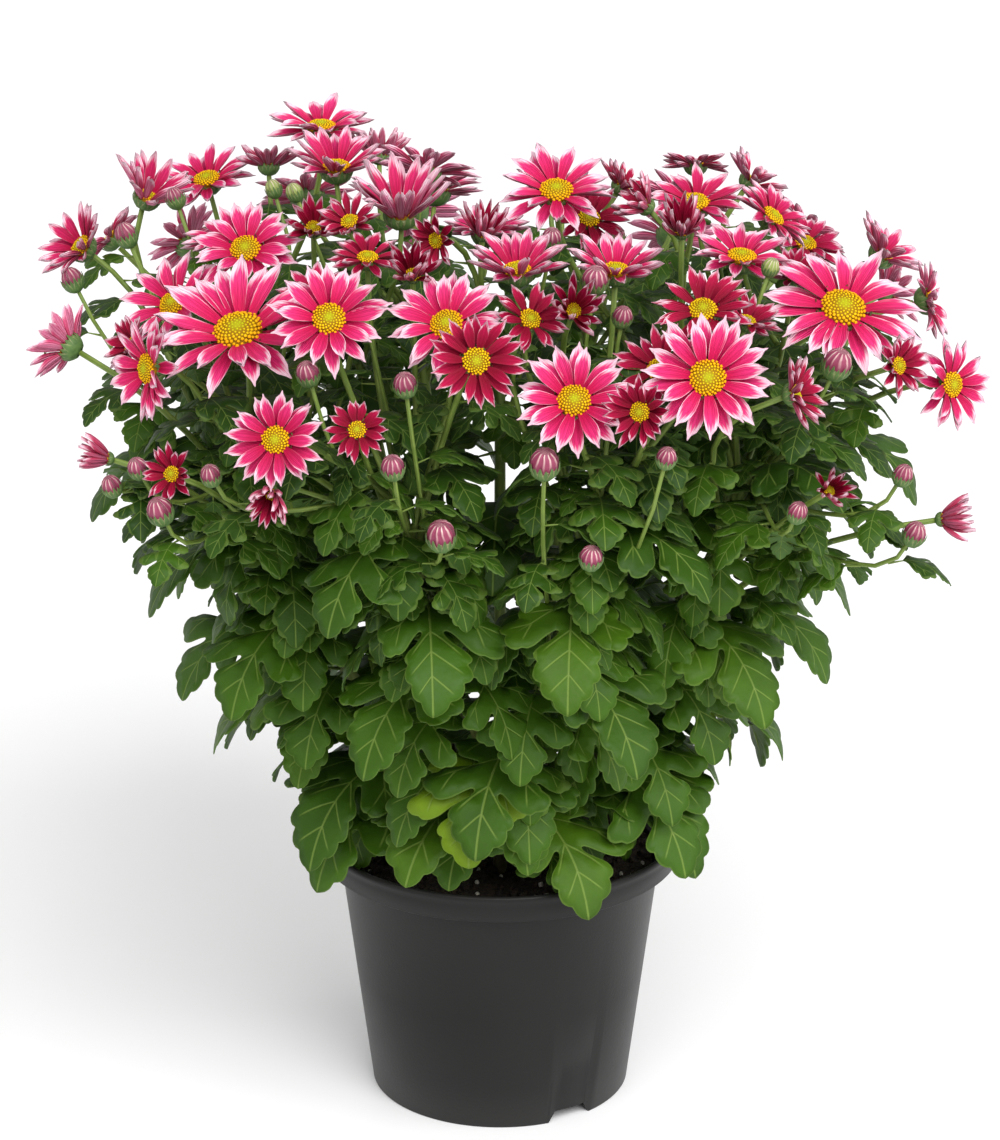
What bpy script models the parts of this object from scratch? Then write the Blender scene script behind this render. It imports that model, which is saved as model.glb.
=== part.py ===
"""Pot chrysanthemum: a plastic nursery pot, its soil, five leafy stems and their blooms.

Metres, +Z up. The origin is where the pot's axis meets the surface it stands on. The front of the
plant faces -Y. An azimuth is measured from the front towards +X, and a tilt from straight up.
"""

import math

import bmesh
import bpy
import numpy as np
from mathutils import Matrix, Vector
from mathutils.bvhtree import BVHTree

MM = 0.001
GAP = 0.3 * MM

# Pot
RIM_RADIUS = 70 * MM
POT_HEIGHT = 105 * MM
FOOT_RADIUS = 49.2 * MM
SHOULDER_RADIUS = 61.2 * MM
COLLAR_HEIGHT = 11 * MM
WALL = 1.5 * MM
FLOOR_RAISE = 5.5 * MM
POT_SIDES = 28
NOTCH_AZIMUTHS = (33, 213)
NOTCH_WIDTH = 18.6 * MM
NOTCH_TAPER = 0.72
NOTCH_HEIGHT = 4.7 * MM
DRAIN_RADIUS = 4 * MM
DRAIN_CIRCLE = 36 * MM
DRAINS = 6
DRAIN_TURN = 20
HOLE_SIDES = 6

# Soil
SOIL_EDGE = 92 * MM
SOIL_MOUND = 4 * MM
SOIL_RINGS = 3
CRUMB = 0.8 * MM

# Leafy stems: each has a main stem and a side branch to its left and to its right
STEMS = 5
BRANCH_TURN = 18
STEM_START = Vector((22 * MM, 0, 84 * MM))
STEM_REACH = 54 * MM
STEM_TOP = 296 * MM
BRANCH_REACH = 114 * MM
BRANCH_TOP = 274 * MM
BRANCH_JOIN = 0.16
BRANCH_STEPS = 4
STEM_SIDES = 4
STEM_THICK = (3.0 * MM, 2.2 * MM)
BRANCH_THICK = (2.6 * MM, 1.9 * MM)

# Stalks: those of heads nearer to the axis than INNER grow from a main stem
INNER = 78 * MM
STALK_SIDES = 3
SHORT_STALK = 85 * MM
HEAD_STALK_THICK = (1.2 * MM, 1.1 * MM)
BUD_STALK_THICK = (0.9 * MM, 0.8 * MM)
STALK_LEAVE = 0.3
STALK_ROOM = 1.0 * MM
STALK_LEAST_ROOM = 0.5 * MM
KIN_ROOM = 0.3 * MM
KIN_FROM = 0.35
RUN_TESTS = 8

# Leaves
BLADE = 0.7 * MM
LEAF_LENGTHS = (76 * MM, 58 * MM)
BRANCH_LEAVES = (0.06, 0.29, 0.52, 0.74, 0.94)
STEM_LEAVES = (0.55, 0.85)
LEAF_FOLD = 0.12

# Outline of half a leaf, as (along, across) shares of its length
LEAF_SIDE = (
    (0.00, 0.013),
    (0.24, 0.020),
    (0.33, 0.250),
    (0.47, 0.130),
    (0.64, 0.340),
    (0.78, 0.160),
)
LEAF_RIB = (0.0, 0.30, 0.62)

# Where the leaves point, each as a value at a branch's foot and how much less it is at the tip
LEAF_TURN = (30, 14)
LEAF_PITCH = (34, 22)
LEAF_BEND = (112, 26)
LEAF_STAGGER = 0.12
GOLDEN_SHARE = 0.382

# Heads, as shares of half their width, and a petal's points as shares of its length
DISC_RADIUS = 0.34
DISC_RIM_RADIUS = 0.30
DISC_RIM_RISE = 0.09
DISC_RISE = 0.20
HEAD_DEPTH = 0.30
PETAL_WIDEST = 0.62
PETAL_HALF_WIDTH = 0.62
RIDGE_ALONG = 0.50
RIDGE_RISE = 1.0 * MM

# Buds
BUD_SIDES = 5
BUD_RINGS = 3
BUD_LENGTH = 1.25
BUD_LEAN = 0.4

# Petal lift in degrees of the outer and of the inner row, by form
FORMS = {
    "flat": (-6, 8),
    "open": (4, 18),
    "cup": (24, 38),
    "bowl": (42, 56),
    "half": (58, 70),
}

# Blooms, each at the tip of its own stalk: across, back and up in mm to the middle of its disc,
# width in mm, azimuth and tilt of its face in degrees, and form
BLOOMS = (
    (25, -140, 320, 40, 0, 48, "open"),
    (70, -130, 325, 44, 5, 64, "open"),
    (-75, -150, 310, 33, -10, 72, "open"),
    (-90, -95, 330, 60, -20, 28, "open"),
    (-58, -118, 342, 40, 0, 50, "open"),
    (-18, -112, 338, 40, -15, 40, "open"),
    (-8, -145, 336, 32, 5, 70, "open"),
    (120, -68, 330, 56, 15, 33, "flat"),
    (158, -75, 305, 32, 40, 78, "open"),
    (70, -92, 337, 34, 0, 33, "open"),
    (55, -112, 322, 32, -10, 40, "open"),
    (-90, -45, 345, 38, -10, 40, "open"),
    (-115, -55, 328, 38, -40, 45, "open"),
    (-118, -103, 320, 36, -55, 82, "open"),
    (6, -88, 350, 34, 0, 12, "cup"),
    (10, -112, 340, 26, 30, 45, "open"),
    (40, -85, 349, 33, 10, 12, "cup"),
    (20, -30, 362, 42, 0, 24, "open"),
    (32, -8, 346, 28, 15, 40, "open"),
    (70, -20, 355, 35, 10, 20, "open"),
    (85, -55, 345, 36, 20, 12, "open"),
    (96, -14, 346, 32, 70, 40, "open"),
    (112, 14, 330, 28, 30, 30, "open"),
    (140, 10, 327, 30, 90, 42, "cup"),
    (154, -20, 319, 30, 85, 78, "open"),
    (-60, 20, 357, 36, 0, 10, "cup"),
    (-67, 62, 361, 38, 0, 6, "open"),
    (-27, 12, 358, 35, 160, 32, "open"),
    (-35, -40, 357, 37, 0, 12, "bowl"),
    (-46, -76, 351, 26, 0, 15, "open"),
    (-64, -82, 338, 28, -10, 30, "open"),
    (-112, 90, 333, 36, -30, 20, "open"),
    (-132, 48, 338, 30, 70, 25, "bowl"),
    (-154, 20, 327, 32, -60, 50, "cup"),
    (-147, 62, 318, 28, -100, 45, "open"),
    (-152, -60, 314, 29, -120, 72, "cup"),
    (50, -142, 318, 24, -20, 78, "cup"),
    (100, -120, 316, 25, 70, 68, "cup"),
    (93, 38, 347, 26, 100, 40, "cup"),
    (73, 50, 350, 26, 180, 15, "open"),
    (-75, 115, 320, 38, -155, 38, "open"),
    (-25, 92, 328, 36, 170, 22, "open"),
    (-35, 142, 306, 40, -170, 58, "open"),
    (20, 62, 334, 34, 150, 15, "cup"),
    (25, 115, 320, 38, 170, 40, "open"),
    (70, 98, 322, 38, 150, 36, "open"),
    (68, 142, 296, 36, 160, 66, "open"),
    (115, 66, 320, 34, 120, 45, "open"),
    (115, 110, 296, 34, 135, 66, "open"),
    (-122, 118, 300, 34, -135, 60, "open"),
    (146, 52, 300, 28, 110, 70, "cup"),
    (-5, 42, 326, 34, 180, 6, "open"),
    (-100, 20, 330, 34, -90, 15, "open"),
)

# Young heads, which grow as one with their leafy stem, in the same columns
YOUNG = (
    (25, -108, 342, 20, 10, 58, "half"),
    (104, -40, 334, 22, 0, 20, "cup"),
    (86, -82, 330, 22, 60, 30, "cup"),
    (138, -88, 316, 22, 40, 70, "cup"),
    (64, -52, 354, 18, 0, 30, "half"),
    (52, -30, 357, 20, -80, 50, "bowl"),
    (42, 2, 353, 22, 90, 40, "cup"),
    (-45, 60, 354, 22, 170, 20, "bowl"),
    (-52, -58, 357, 22, -20, 35, "cup"),
    (-66, -45, 353, 20, 0, 40, "bowl"),
    (-22, -66, 355, 20, -30, 85, "cup"),
    (-6, -66, 357, 16, 20, 25, "half"),
    (-30, -92, 350, 18, 0, 45, "half"),
    (-128, -84, 322, 20, -60, 60, "cup"),
    (-88, 82, 341, 24, 180, 20, "cup"),
    (-112, -125, 289, 20, -25, 65, "cup"),
    (-48, -146, 312, 21, 0, 60, "open"),
    (-136, -100, 286, 14, -80, 75, "half"),
    (-77, -148, 290, 16, -10, 105, "half"),
    (113, -120, 281, 14, 20, 60, "half"),
    (155, -90, 260, 15, 80, 80, "half"),
)

# Closed buds: across, back and up in mm, and width in mm
BUDS = (
    (-120, 30, 343, 7),
    (-135, -12, 341, 8),
    (-158, 8, 321, 8),
    (-83, 18, 350, 6),
    (-74, -12, 357, 6),
    (-65, -128, 326, 8),
    (-48, -98, 345, 6),
    (-32, -134, 324, 8),
    (18, -64, 355, 7),
    (32, -106, 350, 9),
    (15, -146, 300, 10),
    (56, -146, 302, 7),
    (42, -102, 338, 7),
    (116, -102, 321, 10),
    (-134, -112, 280, 7),
    (-124, -122, 290, 7),
    (-116, -132, 278, 9),
    (-98, -138, 293, 7),
    (-86, -126, 302, 8),
    (-36, -150, 300, 8),
    (-20, -140, 272, 10),
    (31, -140, 264, 8),
    (102, -125, 275, 7),
    (139, -112, 284, 7),
    (144, -108, 261, 8),
    (94, -76, 348, 6),
    (46, 154, 292, 8),
    (-56, 152, 290, 8),
    (140, 92, 280, 7),
)

# Places tried in turn, until a head, a stalk or a leaf is clear of what already grows
HEAD_SLIDES = tuple(MM * step for step in (0, 3, -3, 6, -6, 9, -9, 12, -12, 15, -15, 18, -18))
HEAD_TILTS = (0, -10, 10, -20, 20)
HEAD_ROOM = 1.05
STALK_SHARES = tuple(0.97 - 0.055 * number for number in range(11))
STALK_BULGES = (0.45, 0.3, 0.6, 0.15)
LEAF_MOVES = (
    (0, 0, 1.0),
    (12, 0, 1.0),
    (-12, 0, 1.0),
    (0, 14, 1.0),
    (0, -14, 1.0),
    (22, 8, 0.95),
    (-22, 8, 0.95),
    (22, -10, 0.9),
    (-22, -10, 0.9),
    (0, 28, 0.9),
    (35, 0, 0.85),
    (-35, 0, 0.85),
    (0, 0, 0.75),
    (18, 18, 0.75),
    (-18, 18, 0.75),
    (18, -20, 0.7),
    (-18, -20, 0.7),
    (48, 10, 0.7),
    (-48, 10, 0.7),
)


def clear_scene():
    for obj in list(bpy.data.objects):
        bpy.data.objects.remove(obj)


def make_collection(name, hidden=False):
    group = bpy.data.collections.new(name)
    bpy.context.scene.collection.children.link(group)
    group.hide_render = hidden
    return group


def make_material(name, colour, roughness, metallic=0.0):
    material = bpy.data.materials.new(name)
    material.use_nodes = True
    material.diffuse_color = (*colour, 1)
    shader = material.node_tree.nodes["Principled BSDF"]
    shader.inputs["Base Color"].default_value = (*colour, 1)
    shader.inputs["Roughness"].default_value = roughness
    shader.inputs["Metallic"].default_value = metallic
    return material


def add_object(name, mesh, group, *materials):
    obj = bpy.data.objects.new(name, mesh)
    for material in materials:
        if material.name not in mesh.materials:
            mesh.materials.append(material)
    group.objects.link(obj)
    return obj


def mesh_from_bmesh(name, bm):
    mesh = bpy.data.meshes.new(name)
    bm.to_mesh(mesh)
    bm.free()
    return mesh


def evaluated_mesh(obj):
    """The object's mesh with its modifiers applied, welded, in world space."""
    graph = bpy.context.evaluated_depsgraph_get()
    mesh = bpy.data.meshes.new_from_object(obj.evaluated_get(graph))
    mesh.transform(obj.matrix_world)
    bm = bmesh.new()
    bm.from_mesh(mesh)
    bmesh.ops.remove_doubles(bm, verts=bm.verts, dist=1e-6)
    bmesh.ops.recalc_face_normals(bm, faces=bm.faces)
    bm.to_mesh(mesh)
    bm.free()
    return mesh


def around(radius, azimuth, height):
    """A point at this distance from the pot's axis, at this azimuth and height."""
    turn = math.radians(azimuth)
    return Vector((radius * math.sin(turn), -radius * math.cos(turn), height))


def azimuth_of(point):
    return math.degrees(math.atan2(point.x, -point.y))


def facing(place, azimuth, tilt, spin=0.0):
    """The matrix that stands a shape on this place and leans its +Z by the tilt to the azimuth."""
    return (
        Matrix.Translation(place)
        @ Matrix.Rotation(math.radians(azimuth), 4, "Z")
        @ Matrix.Rotation(math.radians(tilt), 4, "X")
        @ Matrix.Rotation(math.radians(spin), 4, "Z")
    )


# Pot and soil


def wall_radius(height):
    """Outer radius of the pot's tapered body at a height under the collar."""
    top = POT_HEIGHT - COLLAR_HEIGHT
    return FOOT_RADIUS + (SHOULDER_RADIUS - FOOT_RADIUS) * height / top


def inside_radius(height):
    """Inner radius of the body at a height between its floor and its shoulder."""
    low, high = FLOOR_RAISE + WALL, POT_HEIGHT - COLLAR_HEIGHT + WALL
    share = (height - low) / (high - low)
    return (wall_radius(low) + (SHOULDER_RADIUS - wall_radius(low)) * share) - WALL


def turned(name, profile, sides, group, material):
    """A solid turned from its (radius, height) profile, which runs down the outer side."""
    bm = bmesh.new()
    points = [bm.verts.new((radius, 0, height)) for radius, height in profile]
    for start, end in zip(points, points[1:]):
        bm.edges.new((start, end))
    obj = add_object(name, mesh_from_bmesh(name, bm), group, material)
    screw = obj.modifiers.new("turn", "SCREW")
    screw.steps = screw.render_steps = sides
    screw.use_merge_vertices = True
    screw.merge_threshold = 1e-5
    return obj


def cut(obj, cutter):
    cutter.display_type = "WIRE"
    cutter.hide_render = True
    boolean = obj.modifiers.new("cut", "BOOLEAN")
    boolean.operation = "DIFFERENCE"
    boolean.object = cutter


def rod_cutter(name, place, radius, depth, group):
    """An upright cutter centred on its place."""
    bm = bmesh.new()
    bmesh.ops.create_cone(
        bm, cap_ends=True, segments=HOLE_SIDES, radius1=radius, radius2=radius, depth=depth
    )
    cutter = add_object(name, mesh_from_bmesh(name, bm), group)
    cutter.location = place
    return cutter


def notch_cutter(azimuth, group):
    """A block across the foot ring, narrower at its top."""
    bm = bmesh.new()
    bmesh.ops.create_cube(bm, size=1)
    for vert in bm.verts:
        vert.co.x *= NOTCH_WIDTH * (NOTCH_TAPER if vert.co.z > 0 else 1)
        vert.co.y *= 4 * WALL
        vert.co.z = NOTCH_HEIGHT if vert.co.z > 0 else -NOTCH_HEIGHT
    cutter = add_object("notch_cutter", mesh_from_bmesh("notch_cutter", bm), group)
    cutter.location = around(FOOT_RADIUS - WALL / 2, azimuth, 0)
    cutter.rotation_euler.z = math.radians(azimuth)
    return cutter


def build_pot(parts, cutters):
    shoulder = POT_HEIGHT - COLLAR_HEIGHT
    floor = FLOOR_RAISE + WALL
    profile = (
        (0, floor),
        (inside_radius(floor), floor),
        (SHOULDER_RADIUS - WALL, shoulder + WALL),
        (RIM_RADIUS - 1.5 * MM - WALL, shoulder + WALL),
        (RIM_RADIUS - 0.4 * MM - WALL, POT_HEIGHT - 0.4 * MM),
        (RIM_RADIUS - WALL, POT_HEIGHT),
        (RIM_RADIUS - 0.5 * MM, POT_HEIGHT),
        (RIM_RADIUS, POT_HEIGHT - 0.8 * MM),
        (RIM_RADIUS - 1.5 * MM, shoulder),
        (SHOULDER_RADIUS, shoulder),
        (FOOT_RADIUS, 0),
        (FOOT_RADIUS - WALL, 0),
        (wall_radius(FLOOR_RAISE) - WALL, FLOOR_RAISE),
        (0, FLOOR_RAISE),
    )
    plastic = make_material("pot_plastic", (0.028, 0.027, 0.028), 0.42)
    pot = turned("pot", profile, POT_SIDES, parts, plastic)
    for azimuth in NOTCH_AZIMUTHS:
        cut(pot, notch_cutter(azimuth, cutters))
    for hole in range(DRAINS):
        place = around(DRAIN_CIRCLE, DRAIN_TURN + 360 * hole / DRAINS, floor)
        cut(pot, rod_cutter("drain_cutter", place, DRAIN_RADIUS, 4 * WALL, cutters))
    return pot


def crumb_height(x, y):
    """Height of the soil's lumps, as a sum of slanted waves."""
    waves = (
        math.sin(310 * x + 120 * y)
        + math.sin(190 * y - 260 * x + 1.3)
        + math.sin(410 * y + 90 * x + 2.1)
    )
    return CRUMB * waves / 2


def build_soil(parts, cutters):
    bottom = FLOOR_RAISE + WALL + GAP
    inside = inside_radius(SOIL_EDGE) - GAP
    top = [
        (inside * ring / SOIL_RINGS, SOIL_EDGE + SOIL_MOUND * (1 - (ring / SOIL_RINGS) ** 2))
        for ring in range(SOIL_RINGS + 1)
    ]
    profile = (*top, (inside_radius(bottom) - GAP, bottom), (0, bottom))
    soil = turned(
        "soil", profile, POT_SIDES, parts, make_material("soil", (0.03, 0.02, 0.013), 0.95)
    )
    mesh = evaluated_mesh(soil)
    for vert in mesh.vertices:
        if vert.co.z > SOIL_EDGE + 0.1 * MM:
            vert.co.z += crumb_height(vert.co.x, vert.co.y)
    soil.modifiers.clear()
    soil.data = mesh
    for stem in range(STEMS):
        foot, joint = branch_joints(3 * stem)[:2]
        rise = (joint - foot).normalized()
        hole = STEM_THICK[0] + 3 * GAP
        depth = 40 * MM
        place = foot + rise * (depth / 2 - GAP)
        cutter = rod_cutter("stem_hole_cutter", place, hole, depth, cutters)
        cutter.rotation_euler = rise.to_track_quat("Z", "Y").to_euler()
        cut(soil, cutter)
    return soil


# Stems and branches. Branch 3k is the main stem of leafy stem k; 3k + 1 and 3k - 1 are its sides.


def stem_of(branch):
    return ((branch + 1) // 3) % STEMS


def side_of(branch):
    """0 for a main stem, 1 or -1 for its side branches."""
    return (branch + 1) % 3 - 1


def branch_curve(branch, share):
    """A point on a branch's curve, from its foot at 0 to its tip at 1: it leans out as it rises."""
    side = side_of(branch)
    middle = 360 / STEMS * stem_of(branch)
    if side == 0:
        radius = STEM_START.x + (STEM_REACH - STEM_START.x) * share**1.4
        return around(radius, middle, STEM_START.z + (STEM_TOP - STEM_START.z) * share)
    foot = branch_point(branch - side, BRANCH_JOIN)
    foot_radius = math.hypot(foot.x, foot.y)
    radius = foot_radius + (BRANCH_REACH - foot_radius) * share**0.9
    turn = side * BRANCH_TURN * (1 - (1 - share) ** 2)
    return around(radius, middle + turn, foot.z + (BRANCH_TOP - foot.z) * share)


def branch_joints(branch):
    return [branch_curve(branch, step / BRANCH_STEPS) for step in range(BRANCH_STEPS + 1)]


def branch_point(branch, share):
    """A point on the straight runs between a branch's joints."""
    step = min(int(share * BRANCH_STEPS), BRANCH_STEPS - 1)
    start, end = (branch_curve(branch, number / BRANCH_STEPS) for number in (step, step + 1))
    return start.lerp(end, share * BRANCH_STEPS - step)


def bevel_shape(name, sides, group):
    """The unit outline that a stalk's curve is swept with."""
    curve = bpy.data.curves.new(name, "CURVE")
    spline = curve.splines.new("POLY")
    spline.points.add(sides - 1)
    for index, point in enumerate(spline.points):
        turn = 2 * math.pi * index / sides
        point.co = (math.cos(turn), math.sin(turn), 0, 1)
    spline.use_cyclic_u = True
    shape = add_object(name, curve, group)
    shape.hide_render = True
    return shape


def stalk(name, points, thick, shape, group, material):
    """A tapered stalk along the points, as a closed mesh."""
    curve = bpy.data.curves.new(name, "CURVE")
    curve.dimensions = "3D"
    curve.bevel_mode = "OBJECT"
    curve.bevel_object = shape
    curve.use_fill_caps = True
    spline = curve.splines.new("POLY")
    spline.points.add(len(points) - 1)
    for index, point in enumerate(points):
        share = index / (len(points) - 1)
        spline.points[index].co = (*point, 1)
        spline.points[index].radius = thick[0] + (thick[1] - thick[0]) * share
    swept = bpy.data.objects.new(name, curve)
    group.objects.link(swept)
    mesh = evaluated_mesh(swept)
    bpy.data.objects.remove(swept)
    return add_object(name, mesh, group, material)


def stalk_route(branch, share, tip, direction, bulge):
    """Points on a cubic curve from a branch to a head, which it reaches along the direction.

    It leaves the branch half way between the branch's own direction and the straight way.
    """
    foot = branch_point(branch, share)
    along = branch_point(branch, min(share + 0.05, 1.0)) - branch_point(branch, share - 0.05)
    length = (tip - foot).length
    steps = 2 if length < SHORT_STALK else 3
    leave = (along.normalized() + (tip - foot) / length).normalized()
    first = foot + leave * (STALK_LEAVE * length)
    second = tip - direction * (bulge * length)
    points = []
    for step in range(steps + 1):
        s = step / steps
        points.append(
            foot * (1 - s) ** 3
            + first * (3 * s * (1 - s) ** 2)
            + second * (3 * s**2 * (1 - s))
            + tip * s**3
        )
    return points


# Heads


def head_mesh(width, form, petals):
    """Points and faces of a head: two rows of ridged petals round a disc, over a cone.

    The rows take turns round the head. Each petal has a point at its left, tip and right, and a
    ridge point on top. Notch points lie between the petals, and the disc's edge over the notches.
    """
    radius = width / 2
    root = DISC_RADIUS * radius
    step = 2 * math.pi / petals
    low, high = (math.radians(lift) for lift in FORMS[form])
    length = (radius - root) / math.cos(low)
    index = np.arange(petals)
    lift = np.where(index % 2 == 0, low, high)

    def ring(turn, along, rise):
        """Points at a share of the petals' length, turned by a share of the step round."""
        out = root + along * length * np.cos(lift) - rise * np.sin(lift)
        up = along * length * np.sin(lift) + rise * np.cos(lift)
        angle = (index + turn) * step
        return np.stack((out * np.cos(angle), out * np.sin(angle), up), axis=1)

    def collar(out, up):
        angle = (index - 0.5) * step
        return np.stack(
            (out * np.cos(angle), out * np.sin(angle), np.full(petals, up)), axis=1
        )

    rings = (
        collar(root, 0.0),
        ring(-PETAL_HALF_WIDTH, PETAL_WIDEST, 0.0),
        ring(0.0, 1.0, 0.0),
        ring(PETAL_HALF_WIDTH, PETAL_WIDEST, 0.0),
        ring(0.0, RIDGE_ALONG, RIDGE_RISE),
        collar(DISC_RIM_RADIUS * radius, DISC_RIM_RISE * radius),
    )
    middle = ((0, 0, DISC_RISE * radius), (0, 0, -HEAD_DEPTH * radius))
    points = np.concatenate((*rings, middle))
    notch, left, tip, right, ridge, disc = (row * petals + index for row in range(6))
    after = np.roll(index, -1)
    next_notch, next_disc = notch[after], disc[after]
    top = np.full(petals, 6 * petals)
    base = top + 1
    petal_faces = (
        (notch, left, ridge),
        (left, tip, ridge),
        (tip, right, ridge),
        (right, next_notch, ridge),
        (disc, notch, ridge),
        (next_disc, ridge, next_notch),
        (disc, ridge, next_disc),
        (notch, tip, left),
        (notch, next_notch, tip),
        (next_notch, right, tip),
        (notch, base, next_notch),
    )
    faces = np.concatenate([np.stack(face, axis=1) for face in petal_faces])
    disc_faces = np.stack((disc, next_disc, top), axis=1)
    return points, np.concatenate((faces, disc_faces)), len(faces)


def petals_of(width):
    """Fewer petals on the smaller heads; always an even count, so that the rows take turns."""
    if width < 24 * MM:
        return 6
    if width < 36 * MM:
        return 8
    return 12 if width >= 42 * MM else 10


def head_base(width):
    """How far the tip of the cone under a head lies behind the middle of its disc."""
    return HEAD_DEPTH * width / 2


def tree_of(points, faces):
    return BVHTree.FromPolygons([tuple(p) for p in points], [tuple(f) for f in faces])


def mesh_tree(mesh):
    mesh.calc_loop_triangles()
    points = [vert.co for vert in mesh.vertices]
    return BVHTree.FromPolygons(points, [tuple(t.vertices) for t in mesh.loop_triangles])


def is_clear(tree, others):
    return not any(tree.overlap(other) for other in others)


def placed_points(points, matrix):
    return np.asarray(points) @ np.array(matrix)[:3, :3].T + np.array(matrix)[:3, 3]


def find_head_room(head, others):
    """The matrix of a head that is clear of the others: it slides along its axis and leans."""
    x, y, z, width, azimuth, tilt, form = head
    width *= MM
    petals = petals_of(width)
    roomy, faces, _ = head_mesh(HEAD_ROOM * width, form, petals)
    for lean in HEAD_TILTS:
        for slide in HEAD_SLIDES:
            for spin in (0, 180 / petals):
                matrix = facing(Vector((x, y, z)) * MM, azimuth, tilt + lean, spin)
                matrix = matrix @ Matrix.Translation((0, 0, slide))
                tree = tree_of(placed_points(roomy, matrix), faces)
                if is_clear(tree, others):
                    return matrix, tree
    return matrix, tree


def solid_from(name, points, faces, group, *materials):
    mesh = bpy.data.meshes.new(name)
    mesh.from_pydata(np.asarray(points).tolist(), [], np.asarray(faces).tolist())
    return add_object(name, mesh, group, *materials)


def head_object(name, head, matrix, group, petal, disc):
    width = head[3] * MM
    points, faces, petal_faces = head_mesh(width, head[6], petals_of(width))
    obj = solid_from(name, placed_points(points, matrix), faces, group, petal, disc)
    for polygon in obj.data.polygons[petal_faces:]:
        polygon.material_index = 1
    return obj


def bud_object(name, place, direction, width, group, material):
    """An egg-shaped bud that points along the direction."""
    bm = bmesh.new()
    bmesh.ops.create_uvsphere(
        bm, u_segments=BUD_SIDES, v_segments=BUD_RINGS, radius=width / 2
    )
    turn = direction.to_track_quat("Z", "Y").to_matrix().to_4x4()
    grow = Matrix.Diagonal((1, 1, BUD_LENGTH, 1))
    bmesh.ops.transform(bm, matrix=Matrix.Translation(place) @ turn @ grow, verts=bm.verts)
    return add_object(name, mesh_from_bmesh(name, bm), group, material)


def find_bud_room(bud, lean, others):
    """Slides a bud along its lean until it is clear of the others, and returns how far."""
    moved = Vector()
    for slide in HEAD_SLIDES:
        bud.data.transform(Matrix.Translation(lean * slide - moved))
        moved = lean * slide
        if is_clear(mesh_tree(bud.data), others):
            return moved
    return moved


# Stalks


def nearest_branch(point):
    """The main stem for a place near the middle, and otherwise the side branch on its side."""
    stem = round(azimuth_of(point) / (360 / STEMS))
    past = azimuth_of(point) - stem * 360 / STEMS
    if math.hypot(point.x, point.y) < INNER:
        return 3 * stem % (3 * STEMS)
    return (3 * stem + (1 if past > 0 else -1)) % (3 * STEMS)


def branches_near(branch):
    """The branches of the same leafy stem, from the nearest to this one."""
    stem = stem_of(branch)
    own = [number for number in range(3 * STEMS) if stem_of(number) == stem]
    span = 3 * STEMS
    return sorted(own, key=lambda other: min((other - branch) % span, (branch - other) % span))


def along_runs(points, count):
    """Points at even steps along the straight runs between these points."""
    return [
        start.lerp(end, number / count)
        for start, end in zip(points, points[1:])
        for number in range(count + 1)
    ]


def keeps_off(places, trees, reach):
    return all(tree.find_nearest(place, reach)[0] is None for tree in trees for place in places)


def find_stalk_route(head, others, kin, busy):
    """The points of a stalk to this head that is clear of the others.

    Each further stalk on a branch leaves it a little lower down, and the one that is blocked
    there leaves it as near to that as it can. Past its first run it stays clear of its kin,
    the branches and stalks of its own leafy stem, where there is a way to.
    """
    thick = head.stalk_thick[0]
    for room, kept_off in ((STALK_ROOM, kin), (STALK_LEAST_ROOM, kin), (STALK_LEAST_ROOM, ())):
        for branch in branches_near(nearest_branch(head.tip)):
            wanted = STALK_SHARES[busy[branch] % len(STALK_SHARES)]
            for share in sorted(STALK_SHARES, key=lambda share: abs(share - wanted)):
                for bulge in STALK_BULGES:
                    route = stalk_route(branch, share, head.tip, head.direction, bulge)
                    places = along_runs(route, RUN_TESTS)
                    past = places[int(KIN_FROM * len(places)) :]
                    if keeps_off(places, others, thick + room) and keeps_off(
                        past, kept_off, thick + KIN_ROOM
                    ):
                        busy[branch] += 1
                        return route
    return route


# Leaves


def leaf_sheet(length, bend, fold):
    """Points and faces of a leaf as an open sheet, which leaves its root along -Y.

    The midrib is an arc that droops by the bend, in degrees, over the leaf's length. The sides
    are raised by the fold, a share of their distance from the midrib.
    """
    curve = math.radians(bend)

    def point(along, across):
        turn = curve * along
        out = length * math.sin(turn) / curve
        down = length * (1 - math.cos(turn)) / curve
        rise = fold * abs(across) * length
        return (
            across * length,
            -(out + rise * math.sin(turn)),
            -down + rise * math.cos(turn),
        )

    rib = [*LEAF_RIB, 1.0]
    side = [along for along, _ in LEAF_SIDE] + [1.0]
    points = [point(along, 0) for along in rib]
    points += [point(along, -across) for along, across in LEAF_SIDE]
    points += [point(along, across) for along, across in LEAF_SIDE]
    tip = len(LEAF_RIB)
    faces = []
    for first, flip in ((tip + 1, False), (tip + 1 + len(LEAF_SIDE), True)):
        edge = [first + number for number in range(len(LEAF_SIDE))] + [tip]
        a = b = 0
        while a < len(rib) - 1 or b < len(side) - 1:
            step_rib = b == len(side) - 1 or (a < len(rib) - 1 and rib[a + 1] <= side[b + 1])
            if step_rib:
                face = (a, edge[b], a + 1)
                a += 1
            else:
                face = (a, edge[b], edge[b + 1])
                b += 1
            if len(set(face)) == 3:
                faces.append(face if flip else face[::-1])
    return np.array(points), faces


def leaf_matrix(root, azimuth, pitch):
    return (
        Matrix.Translation(root)
        @ Matrix.Rotation(math.radians(azimuth), 4, "Z")
        @ Matrix.Rotation(math.radians(-pitch), 4, "X")
    )


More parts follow.
